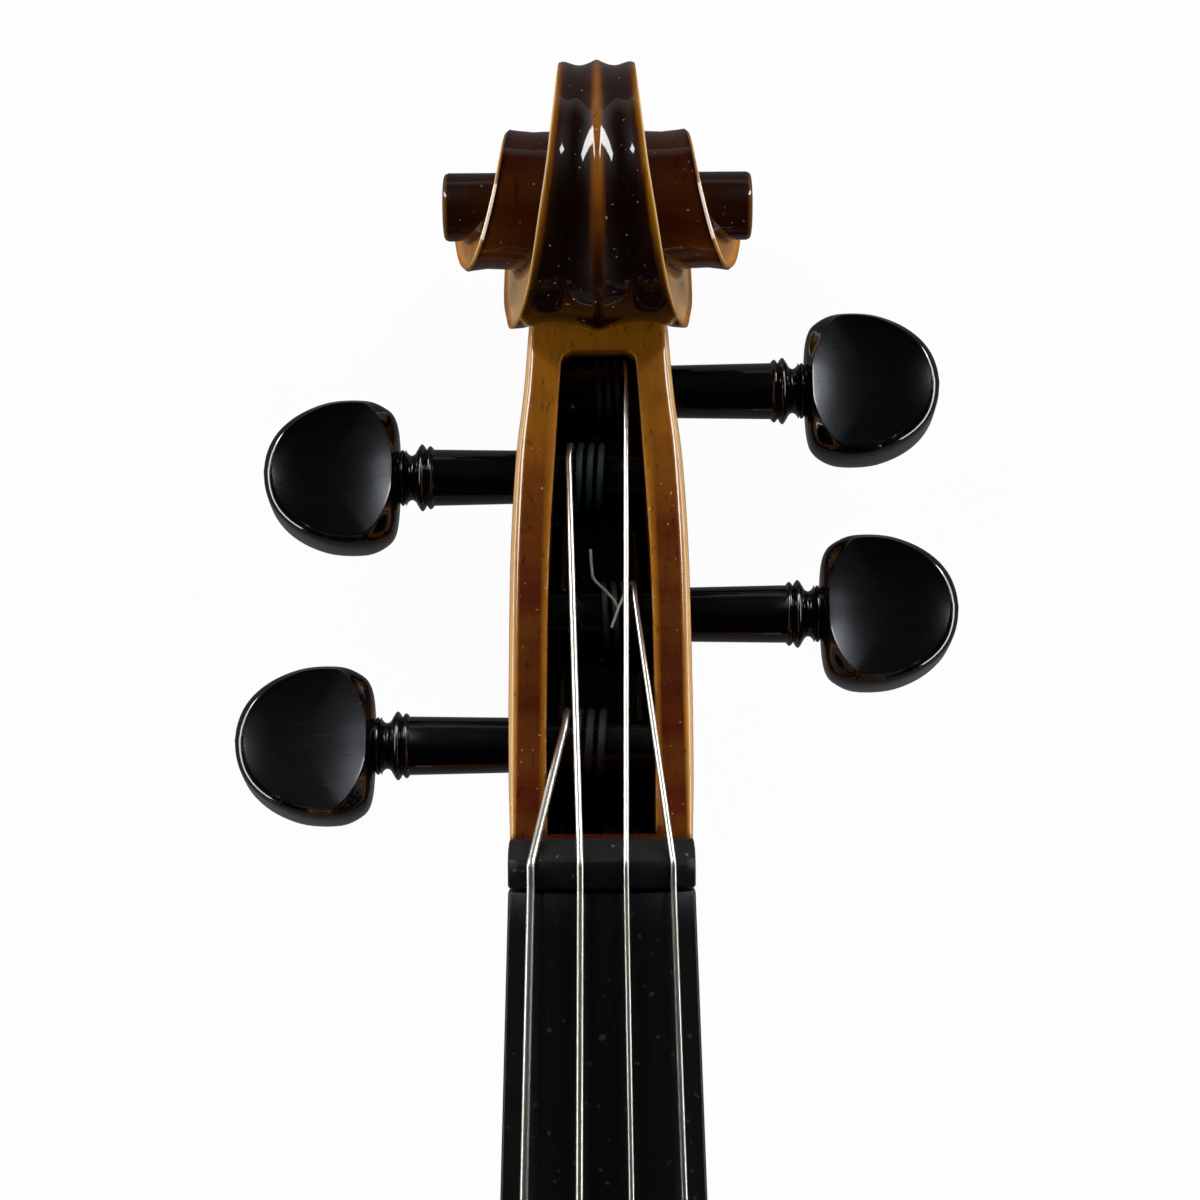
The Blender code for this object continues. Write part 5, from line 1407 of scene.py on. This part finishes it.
def make_string(name):
    route = string_route(name)
    rings = string_tube(route, STRINGS[name][0] / 2)
    made = loft(rings)
    wound = len(made.vertices)
    bends = [eased([Vector(head(*spot)) for spot in end], 0.0008) for end in LOOSE_ENDS.get(name, ())]
    made = together([made] + [loft(string_tube(bend, LOOSE_RADIUS, 10)) for bend in bends])
    far, so_far = 0.0, []
    for before, spot in zip([route[0], *route], route):
        far += (spot - before).length
        so_far.append(far)
    silk_from = so_far[-len(string_coil(name))] + 0.020
    tree = KDTree(len(route))
    for i, spot in enumerate(route):
        tree.insert(spot + Vector((0, BODY_SHIFT, 0)), i)
    tree.balance()
    index = [tree.find(vertex.co)[1] for vertex in made.vertices]
    layer = made.attributes.new("far", "FLOAT", "POINT")
    layer.data.foreach_set("value", np.array([so_far[i] for i in index], np.float32))
    silk = [float(so_far[i] > silk_from) for i in index]
    paint_mask(made, "silk", silk[:wound] + [0.7] * (len(silk) - wound))
    piece(name + "_wound", made, STRING_LOOKS[name], name, sharp=60)


for string in STRINGS:
    make_string(string)

# %% [markdown]
# ## The outline of the body
# Every part of the body follows one outline: two round bouts, a waist between them and four pointed corners.
# It could be traced as a list of points, but four or five curves through the widest and narrowest places say
# more, and any number of points can be taken from them. Only the treble half is drawn, and the other is its
# mirror image.

# %% Outline
LOWER_HALF, UPPER_HALF, WAIST_HALF = 0.119, 0.096, 0.065
LOWER_TIPS = ((0.1065, 0.15448), (0.1035, 0.16049))
UPPER_TIPS = ((0.0845, 0.25651), (0.0885, 0.26199))
SPINE_SHARE = 0.72
Z_BACK, Z_TOP = 0.0175, 0.0545
OVERHANG, RIB_THICKNESS = 0.0030, 0.0013


def curve(start, first, second, end, steps):
    """Points of a cubic curve between start and end, its end point left out."""
    found = []
    for i in range(steps):
        t, s = i / steps, 1 - i / steps
        weights = (s**3, 3 * s * s * t, 3 * s * t * t, t**3)
        found.append(tuple(sum(w * p[k] for w, p in zip(weights, (start, first, second, end))) for k in (0, 1)))
    return found


def lower_line():
    wide = (LOWER_HALF, 0.217 * BODY_LENGTH)
    tip = LOWER_TIPS[0]
    bend = (tip[0] - 0.0070, tip[1] - 0.0165)
    line = curve((0, 0), (0.56 * wide[0], 0), (wide[0], 0.42 * wide[1]), wide, 26)
    line += curve(wide, (wide[0], wide[1] + 0.024), (bend[0] + 0.0020, bend[1] - 0.016), bend, 12)
    return line + curve(bend, (bend[0] - 0.0005, bend[1] + 0.006), (tip[0] - 0.0045, tip[1] - 0.004), tip, 8) + [tip]


def waist_line():
    low, high, narrow = LOWER_TIPS[1], UPPER_TIPS[0], (WAIST_HALF, 0.530 * BODY_LENGTH)
    line = curve(low, (low[0] - 0.0110, low[1] - 0.002), (narrow[0] + 0.0010, narrow[1] - 0.045), narrow, 18)
    line += curve(narrow, (narrow[0] - 0.0005, narrow[1] + 0.021), (high[0] - 0.0115, high[1] - 0.0045), high, 16)
    return line + [high]


def upper_line():
    tip, wide = UPPER_TIPS[1], (UPPER_HALF, 0.815 * BODY_LENGTH)
    bend = (tip[0] - 0.0055, tip[1] + 0.0190)
    line = curve(tip, (tip[0] - 0.0045, tip[1] + 0.004), (bend[0] - 0.0010, bend[1] - 0.009), bend, 8)
    line += curve(bend, (bend[0] + 0.0015, bend[1] + 0.015), (wide[0], wide[1] - 0.025), wide, 10)
    line += curve(wide, (wide[0], wide[1] + 0.042), (0.58 * wide[0], BODY_LENGTH), (0, BODY_LENGTH), 26)
    return line + [(0, BODY_LENGTH)]


def inward(line, i):
    """The direction square to a line at its point i, towards the inside of the body."""
    before, after = line[max(i - 1, 0)], line[min(i + 1, len(line) - 1)]
    along = Vector((after[0] - before[0], after[1] - before[1])).normalized()
    return Vector((-along.y, along.x))


def inset(line, distance):
    return [tuple(Vector(spot) + inward(line, i) * distance) for i, spot in enumerate(line)]


HALF_OUTLINE = lower_line() + waist_line() + upper_line()
print("outline:", len(HALF_OUTLINE), "points in the treble half")

# %% [markdown]
# ## Back and top
# Both plates are carved: a rounded overhanging edge, a shallow channel inside it, and an arch of 17 mm. Each
# plate is a set of closed rings, outside and inside. The first rings keep a fixed distance from the edge, which
# takes some care at the corners, where lines from both sides would cross. The rings after them shrink in
# shares towards the spine, and lose their corners on the way, as an arch has none. A lattice bent over a
# shape would give the arch too, but not the even edge. Each point also stores how far it is from the edge,
# and the shader lets the three strands of purfling in by that measure.

# %% Plates
EDGE, ARCH, THICKNESS, RIM = 0.0042, 0.0175, 0.0032, 0.0060
# Rows outwards under the edge, over it and into the channel: distance from the edge, height
EDGE_ROWS = (
    (RIM, 0.0), (0.0035, 0.0), (0.0009, 0.0), (0.0003, 0.00025), (0.0, 0.0009), (0.0, 0.0031), (0.0002, 0.0036),
    (0.0007, 0.0040), (0.0014, 0.0042), (0.0023, 0.0041), (0.0033, 0.00388), (0.0042, 0.00380), (0.0051, 0.00376),
    (RIM, 0.00375),
)
# Rows by share of the way from the spine to the innermost of those rings: share, how deep the channel still is
ARCH_ROWS = (
    (0.985, 0.00042), (0.965, 0.00036), (0.94, 0.00026), (0.91, 0.00016), (0.87, 0.00006), (0.82, 0.0), (0.76, 0.0),
    (0.69, 0.0), (0.61, 0.0), (0.52, 0.0), (0.43, 0.0), (0.34, 0.0), (0.25, 0.0), (0.16, 0.0), (0.08, 0.0), (0.0, 0.0),
)
INNER_ROWS = (0.0, 0.12, 0.25, 0.38, 0.50, 0.62, 0.74, 0.86, 0.95)


def crown(share):
    """The arch's height over its edge, from 1 on the spine to 0 in the channel."""
    return (0.5 * (1 + math.cos(math.pi * share))) ** 0.62


def edge_tree():
    """Close-set points of the whole outline, to measure distances from."""
    spots = [tuple(mix(p[k], q[k], i / 24) for k in (0, 1)) for p, q in zip(HALF_OUTLINE, HALF_OUTLINE[1:]) for i in range(24)]
    tree = KDTree(2 * len(spots))
    for i, (x, y) in enumerate(spots):
        tree.insert((x, y, 0), i)
        tree.insert((-x, y, 0), i)
    tree.balance()
    return tree


EDGE_TREE = edge_tree()


def from_edge(x, y):
    return EDGE_TREE.find((x, y, 0))[2]


def offset_line(distance):
    """The half outline moved in by a distance; where its own lines would cross, they meet in one point."""
    moved = inset(HALF_OUTLINE, distance)
    fine = [from_edge(*spot) > 0.97 * distance - 0.00012 for spot in moved]
    fine[0] = fine[-1] = True
    i = 0
    while i < len(moved):
        if fine[i]:
            i += 1
            continue
        end = next(k for k in range(i, len(moved)) if fine[k])
        meet = tuple((moved[i - 1][k] + moved[end][k]) / 2 for k in (0, 1))
        moved[i:end] = [meet] * (end - i)
        i = end
    moved[0], moved[-1] = (0.0, distance), (0.0, BODY_LENGTH - distance)
    return moved


def eased_in(ring, times):
    """A closed ring whose corners are drawn smooth by so many rounds of averaging neighbours; heights stay."""
    spots = np.array([p[:2] for p in ring])
    for _ in range(times):
        spots = spots * 0.5 + (np.roll(spots, 1, 0) + np.roll(spots, -1, 0)) * 0.25
    return [(x, y, p[2]) for (x, y), p in zip(spots.tolist(), ring)]


def plate_rings():
    """The closed rings of a plate, each with how dark it is painted as a hollow: painted shade, partly pooled varnish.
    """
    rim = offset_line(RIM)
    spine = np.maximum.accumulate([mix(BODY_LENGTH / 2, y, SPINE_SHARE) for _, y in rim])
    rings = []

    def add(half, z, hollow, times=0):
        ring = [(x, y, z) for x, y in half]
        ring += [(-x, y, z) for x, y, z in ring[-2:0:-1]]
        rings.append((eased_in(ring, times), hollow))

    def add_share(share, z, hollow):
        half = [(x * share, mix(s, y, share)) for (x, y), s in zip(rim, spine)]
        add(half, z, hollow, round(400 * (1 - share)))

    for share in INNER_ROWS:
        add_share(share, EDGE + (ARCH - EDGE) * crown(share) - THICKNESS, 0.3)
    for far, height in EDGE_ROWS:
        add(offset_line(far), height, 0.0)
    for share, dip in ARCH_ROWS:
        add_share(share, EDGE - dip + (ARCH - EDGE) * crown(share), dip / 0.001)
    return rings


def plate_mesh(carry, cutters, operation="DIFFERENCE"):
    """A plate with its cut-outs or additions, its distances and edge wear painted on, and painted shade in its channel,
    on its inside and on the walls of its cuts.
    """
    rings = plate_rings()
    points = [carry(spot) for ring, _ in rings for spot in ring]
    size = len(rings[0][0])
    faces = []
    for row in range(len(rings) - 1):
        for i in range(size):
            a, b = row * size + i, row * size + (i + 1) % size
            faces.append((a, b, b + size, a + size))
    made = cut(mesh_from(points, faces), cutters, operation)
    tree = KDTree(len(points))
    for i, (x, y, z) in enumerate(points):
        tree.insert((x, y + BODY_SHIFT, z), i)
    tree.balance()
    far, hollow, worn = [], [], []
    for vertex in made.vertices:
        x, y, _ = vertex.co
        _, i, miss = tree.find(vertex.co)
        outside = i >= (len(INNER_ROWS) + 3) * size
        far.append(from_edge(x, y - BODY_SHIFT) / 0.01 if outside else 0.0)
        # Painted shade: darkest on the walls of the cuts, such as the f-holes, less on the plate's inside, and in the
        # channel by its depth, where varnish pools too.
        hollow.append(rings[i // size][1] if outside else (0.3 if miss < 2e-5 else 0.9))
        worn.append(0.6 if outside and far[-1] < 0.2 else 0.0)
    paint_mask(made, "from_edge", far)
    paint_mask(made, "hollow", hollow)
    paint_mask(made, "worn", worn)
    return made


def prism(outline, low, high):
    return loft([[(x, y, z) for x, y in outline] for z in (low, high)])


print("plate rings:", len(plate_rings()), "with", len(HALF_OUTLINE), "points a side")

# %% [markdown]
# Each f-hole is two round eyes joined by a curved stem, with a small nick on both sides level with the
# bridge. The stem's two sides are drawn at a varying distance from its middle line. Bored and sawn out of the
# wood by Booleans, the holes show the plate's real thickness, which a dark picture laid on top could not.

# %% F-holes, notches and button
F_MIDDLE, F_TIP, F_STEM = 0.0415, 0.0012, 0.0033
F_EYES = ((-0.0135, 0.0300, 0.0042), (0.0172, -0.0296, 0.0054))


def f_cutters(side):
    spine = curve((-0.0135, 0.0320), (-0.0125, 0.0440), (-0.0005, 0.0435), (-0.0010, 0.0260), 16)
    spine += curve((-0.0010, 0.0260), (-0.0013, 0.0120), (0.0013, -0.0120), (0.0020, -0.0260), 14)
    spine += curve((0.0020, -0.0260), (0.0030, -0.0450), (0.0150, -0.0460), (0.0170, -0.0320), 16) + [(0.0170, -0.0320)]
    left, right = [], []
    for i, spot in enumerate(spine):
        half = F_TIP + (F_STEM - F_TIP) * math.sin(math.pi * i / (len(spine) - 1)) ** 1.5
        left.append(Vector(spot) + inward(spine, i) * half)
        right.append(Vector(spot) - inward(spine, i) * half)
    shapes = [left + right[::-1]]
    for x, y, radius in F_EYES:
        turns = [2 * math.pi * i / 40 for i in range(40)]
        shapes.append([(x + radius * math.cos(t), y + radius * math.sin(t)) for t in turns])
    for toward in (-1, 1):
        base = toward * (F_STEM - 0.0006)
        shapes.append([(base, 0.0012), (toward * (F_STEM + 0.0016), 0.0), (base, -0.0012)])
    place = lambda x, y: (side * (F_MIDDLE + x), BRIDGE_Y + 0.003 + y)
    return [prism([place(*spot) for spot in shape], Z_TOP - 0.01, Z_TOP + 0.03) for shape in shapes]


def rectangle(half, low, high):
    return [(-half, low), (half, low), (half, high), (-half, high)]


def even_light(made):
    """Lets the large faces beside a cut decide how light falls, so that the cut leaves no smears."""
    step = made.modifiers.new("even_light", "WEIGHTED_NORMAL")
    step.keep_sharp = True


def make_plates():
    tools = f_cutters(-1) + f_cutters(1)
    tools.append(prism(rectangle(0.0153, BODY_LENGTH - 0.0063, BODY_LENGTH + 0.01), Z_TOP - 0.01, Z_TOP + 0.03))
    tools.append(prism(rectangle(0.0188, -0.01, 0.0068), Z_TOP - 0.01, Z_TOP + 0.03))
    top = plate_mesh(lambda p: (p[0], p[1], Z_TOP + p[2]), tools)
    even_light(piece("top_carved", top, TOP_SPRUCE, "top_plate", sharp=40))
    turns = [math.pi * i / 24 for i in range(25)]
    rings = []
    for z, less in ((0.0007, 0.0), (0.0034, 0.0), (0.0039, 0.0002), (0.0041, 0.0007)):
        radius = 0.0125 - less
        ring = [(radius * math.cos(t), BODY_LENGTH - 0.001 + radius * math.sin(t)) for t in turns]
        ring += [(-radius, BODY_LENGTH - 0.008), (radius, BODY_LENGTH - 0.008)]
        rings.append([(x, y, Z_BACK - z) for x, y in ring])
    back = plate_mesh(lambda p: (p[0], p[1], Z_BACK - p[2]), [loft(rings)], "UNION")
    even_light(piece("back_carved", back, BACK_MAPLE, "back_plate", sharp=40))


make_plates()

# %% [markdown]
# ## Ribs
# The six ribs are strips of maple 1.3 mm thick, bent over a hot iron and glued to blocks and linings. They
# meet in pairs at the corners. A rib is a loft along the outline, 3 mm inside it. Its upper and lower margins
# are painted darker: painted shade under the overhang of the plates, with some dust and old varnish there.

# %% Ribs
RIB_CUTS = {"lower": (0.00045, 0.0010), "middle": (0.0010, 0.0010), "upper": (0.0010, 0.0159)}


def trimmed(line, start, end):
    """The stretch of a line left when these lengths are cut from its two ends."""
    lengths = [0.0]
    for a, b in zip(line, line[1:]):
        lengths.append(lengths[-1] + math.dist(a, b))
    rows = [(far, x, y) for far, (x, y) in zip(lengths, line)]
    count = len(line)
    return [tuple(smooth_through(rows, far)) for far in steps_between(start, lengths[-1] - end, count)]


def make_ribs():
    heights = (Z_BACK + GAP, Z_BACK + 0.0014, Z_BACK + 0.006, Z_TOP - 0.006, Z_TOP - 0.0014, Z_TOP - GAP)
    lines = {"lower": lower_line(), "middle": waist_line(), "upper": upper_line()}
    for bout, line in lines.items():
        outer = trimmed(inset(line, OVERHANG), *RIB_CUTS[bout])
        inner = inset(outer, RIB_THICKNESS)
        for side, hand in ((-1, "bass"), (1, "treble")):
            rings = []
            for (x, y), (p, q) in zip(outer, inner):
                ring = [(side * x, y, z) for z in heights]
                rings.append(ring + [(side * p, q, heights[-1]), (side * p, q, heights[0])])
            made = loft(rings)
            margin = [min(v.co.z - Z_BACK, Z_TOP - v.co.z) for v in made.vertices]
            # Painted shade under the overhang of the plates, darkest next to them, with some dust and old varnish.
            paint_mask(made, "hollow", [0.9 if far < 0.001 else (0.35 if far < 0.003 else 0.0) for far in margin])
            node = f"rib_{bout}_{hand}"
            piece(node + "_bent", made, RIB_MAPLE, node, sharp=40)


make_ribs()

# %% [markdown]
# ## Bridge
# The bridge is sawn from one piece of maple, thick at its feet and thin at its crown, and its feet are cut to
# the arch they stand on. Its outline could be straight from point to point, but the saw and knife leave
# smooth curves, so a curve is run through the same few points, and a narrow bevel breaks all its edges.

# %% Bridge
def through(points, steps):
    """A smooth line through these points, with so many steps between each two."""
    rows, far = [], 0.0
    for before, spot in zip([points[0], *points], points):
        far += math.dist(before, spot)
        rows.append((far, *spot))
    found = []
    for a, b in zip(rows, rows[1:]):
        found += [tuple(smooth_through(rows, mix(a[0], b[0], k / steps))) for k in range(steps)]
    return found + [points[-1]]


def softened(mesh, width, steps=2, angle=40):
    """The same mesh with its sharp edges bevelled."""
    holder = bpy.data.objects.new("holder", mesh)
    scene.collection.objects.link(holder)
    bevel = holder.modifiers.new("soft", "BEVEL")
    bevel.width, bevel.segments, bevel.limit_method = width, steps, "ANGLE"
    bevel.angle_limit = math.radians(angle)
    bpy.context.view_layer.update()
    made = bpy.data.meshes.new_from_object(holder.evaluated_get(bpy.context.evaluated_depsgraph_get()))
    bpy.data.objects.remove(holder)
    return made


def belly_height(x, y):
    spot = BELLY.ray_cast(Vector((x, y + BODY_SHIFT, 1)), Vector((0, 0, -1)))[0]
    return spot.z


BELLY = BVHTree.FromPolygons(
    [v.co.copy() for v in bpy.data.objects["top_carved"].data.vertices],
    [tuple(p.vertices) for p in bpy.data.objects["top_carved"].data.polygons],
)


def make_bridge():
    base = belly_height(0, BRIDGE_Y)
    foot = lambda x: max(belly_height(x, BRIDGE_Y + dy) for dy in (-0.0024, 0, 0.0024)) + GAP
    tops = [(string_bearings(name)[0], STRINGS[name][0] / 2 + GAP) for name in ("string_a", "string_d")]
    tops = [(spot.x, spot.z - base - lift) for spot, lift in tops]
    wide = 0.0240
    half = through([(0.0, 0.0100), (0.0045, 0.0096), (0.0085, 0.0077), (0.0120, 0.0045), (0.0133, 0.0020)], 5)
    half += [(x, foot(x) - base) for x in steps_between(0.0136, wide, 8)]
    knee = [(wide, -0.0003), (wide - 0.0045, 0.0027), (wide - 0.0062, 0.0063), (wide - 0.0050, 0.0093)]
    half += through(knee + [(wide - 0.0024, 0.0113), (wide - 0.0009, 0.0128), (wide - 0.0020, 0.0140)], 5)
    notch = [(wide - 0.0075, 0.0130), (wide - 0.0125, 0.0147), (wide - 0.0135, 0.0182), (wide - 0.0115, 0.0217)]
    half += through(notch + [(wide - 0.0070, 0.0218), (wide - 0.0036, 0.0226), (wide - 0.0022, 0.0262)], 5)[1:]
    end = (tops[0][0] + 0.0026, tops[0][1] - 0.0022)
    half += through([(wide - 0.0026, 0.0285), end], 4)[1:]
    half += through([end, tops[0], tops[1], (0.0, tops[1][1] + 0.0005)], 8)[1:]
    outline = half + [(-x, z) for x, z in half[-2:0:-1]]
    rings = []
    for front in (-1, 1):
        ring = []
        for x, z in outline:
            share = min(1.0, max(0.0, z / half[-1][1]))
            thick = mix(0.0048, 0.0018, share**0.8)
            ring.append((x, BRIDGE_Y + front * thick / 2, base + z))
        rings.append(ring)
    heart = [(0, 0.0183), (0.0024, 0.0203), (0.0043, 0.0229), (0.0044, 0.0254), (0.0029, 0.0270), (0.0011, 0.0266)]
    heart = through(heart + [(0, 0.0255)], 4)
    heart += [(-x, z) for x, z in heart[-2:0:-1]]
    hole = loft([[(x, BRIDGE_Y + y, base + z) for x, z in heart] for y in (-0.01, 0.01)])
    piece("bridge_carved", softened(cut(loft(rings), [hole]), 0.00025), BRIDGE_WOOD, "bridge", sharp=35)


make_bridge()

# %% [markdown]
# ## Tailpiece, saddle, button and tailgut
# The tailpiece is an arched ebony bar that widens towards the bridge, with a hole and a slit for each string
# and a thin fret that lifts the strings. A nylon cord holds it: it runs over the saddle, which keeps it off
# the soft edge of the top, and round the end button. Each is a plain loft or a turned body with its edges
# rounded in the section itself.

# %% Tail end
def make_tailpiece():
    last = TAIL_START + TAIL_LENGTH
    stops = []
    for share in (0.0, 0.004, 0.012, 0.03, *steps_between(0.06, 0.94, 22), 0.957, 0.972, 0.985, 0.994, 1.0):
        y = mix(TAIL_START, last, share)
        narrow = mix(0.80, 1.0, min(1.0, share / 0.03) ** 0.5) if share < 0.5 else 1.0
        narrow -= 0.20 * max(0.0, (share - 0.955) / 0.045) ** 2
        half = mix(0.0105, 0.0215, share**0.9) * narrow
        ease = 0.0006 * max(0.0, 1 - min(share, 1 - share) / 0.010) ** 2
        stops.append((y, half, tail_top(half, y) - 0.0040 + ease, lambda x, y=y, e=ease: tail_top(x, y) - e))
    tools = []
    for name, row in STRINGS.items():
        x, y = row[2] * 0.78, last - 0.0130
        turns = [2 * math.pi * i / 24 for i in range(24)]
        tools.append(prism([(x + 0.0015 * math.cos(t), y + 0.0015 * math.sin(t)) for t in turns], 0.06, 0.11))
        slit = [(x - 0.0006, y), (x + 0.0006, y), (x + 0.0006, y + 0.0055), (x - 0.0006, y + 0.0055)]
        tools.append(prism(slit, 0.06, 0.11))
    piece("tailpiece_shaped", cut(bar(stops, 0.0011), tools), BOARD_EBONY, "tailpiece", sharp=40)
    y = last - 0.0045
    half = mix(0.0105, 0.0215, ((y - TAIL_START) / TAIL_LENGTH) ** 0.9) - 0.002
    rings = []
    for x in steps_between(-half, half, 40):
        fade = math.sqrt(max(0.05, 1 - (abs(x) / half) ** 8))
        ring = []
        for i in range(9):
            turn = math.pi * i / 8
            spot = y + 0.0012 * math.cos(turn)
            ring.append((x, spot, tail_top(x, spot) + GAP + 0.0014 * fade * math.sin(turn) ** 0.7))
        rings.append(ring)
    piece("fret_rounded", loft(rings), BOARD_EBONY, "tailpiece_fret", sharp=50)


def make_saddle():
    low, high = Z_TOP + GAP, Z_TOP + EDGE + 0.0030
    rings = []
    for share in steps_between(-1, 1, 32):
        x = 0.0185 * share
        top = high - 0.0018 * max(0.0, (abs(share) - 0.4) / 0.6) ** 1.5
        ring = [(0.0002, low), (0.0002, top - 0.0022), (0.0004, top - 0.0014), (0.0009, top - 0.0007)]
        ring += [(0.0018, top - 0.0002), (0.0030, top), (0.0046, top - 0.0004), (0.0065, top - 0.0012), (0.0065, low)]
        rings.append([(x, y, z) for y, z in ring])
    piece("saddle_rounded", softened(loft(rings), 0.0003), BOARD_EBONY, "saddle", sharp=40)


def make_button():
    rows = (
        (0.0140, 0.0033), (0.0027, 0.0036), (0.0026, 0.0057), (0.0023, 0.0060), (0.0017, 0.0060), (0.0013, 0.0057),
        (0.0004, 0.0049), (-0.0012, 0.0046), (-0.0028, 0.0049), (-0.0034, 0.0062), (-0.0040, 0.0071),
        (-0.0052, 0.0076), (-0.0068, 0.0074), (-0.0084, 0.0064), (-0.0092, 0.0048), (-0.0094, 0.0024),
    )
    profile = [rows[0], rows[1], *through(list(rows[2:]), 4)]
    place = Matrix.Translation((0, 0, 0.0360)) @ Matrix.Rotation(math.pi / 2, 4, "Z")
    made = turned(profile, place.__matmul__, 64)
    piece("button_turned", made, PEG_EBONY, "end_button", sharp=50)


def make_tailgut():
    over = Z_TOP + EDGE + 0.0030 + 0.0011 + GAP
    low = tail_top(0.0045, TAIL_START) - 0.0030
    reach = 0.0048 + 0.0011 + GAP
    half = [(0.0045, TAIL_START - GAP, low), (0.0048, TAIL_START - 0.0033, low - 0.0002), (0.0052, 0.0050, over + 0.0002)]
    half += [(0.0054, 0.0026, over + 0.0001), (0.0056, -0.0002, over - 0.0012), (0.0058, -0.0015, over - 0.0045)]
    half += [(0.0062, -0.0016, 0.0480), (reach + 0.0001, -0.0016, 0.0380)]
    under = [(reach * math.cos(t), -0.0016, 0.0360 + reach * math.sin(t)) for t in steps_between(-0.26, -2.88, 18)]
    route = [Vector(spot) for spot in half + under + [(-x, y, z) for x, y, z in half[::-1]]]
    made = loft(string_tube(eased(route, 0.0022), 0.0011, 24))
    piece("tailgut_cord", made, TAIL_NYLON, "tailgut", sharp=60)


make_tailpiece()
make_saddle()
make_button()
make_tailgut()

# %% [markdown]
# ## Inside
# Blocks, linings, bass bar and sound post can only be seen through the f-holes. The packed pieces are exact
# enough there, so they are kept, and each gets plain planed spruce with the saw's fine fibres.

# %% Inner pieces
kept = []
for name, node in frame["nodes"].items():
    if name.startswith(("lining", "corner_block", "end_block", "neck_block", "bass_bar", "sound_post")):
        node.data.materials.clear()
        node.data.materials.append(BLOCK_SPRUCE)
        kept.append(name)
print("kept inner pieces:", len(kept))

# %% [markdown] ## Box corners A helper that lists a box's corners, each rounded to six places.
# The finished model has to stay inside the frame's box.

# %% Finish
def corners(box):
    return [[round(float(value), 6) for value in corner] for corner in box]
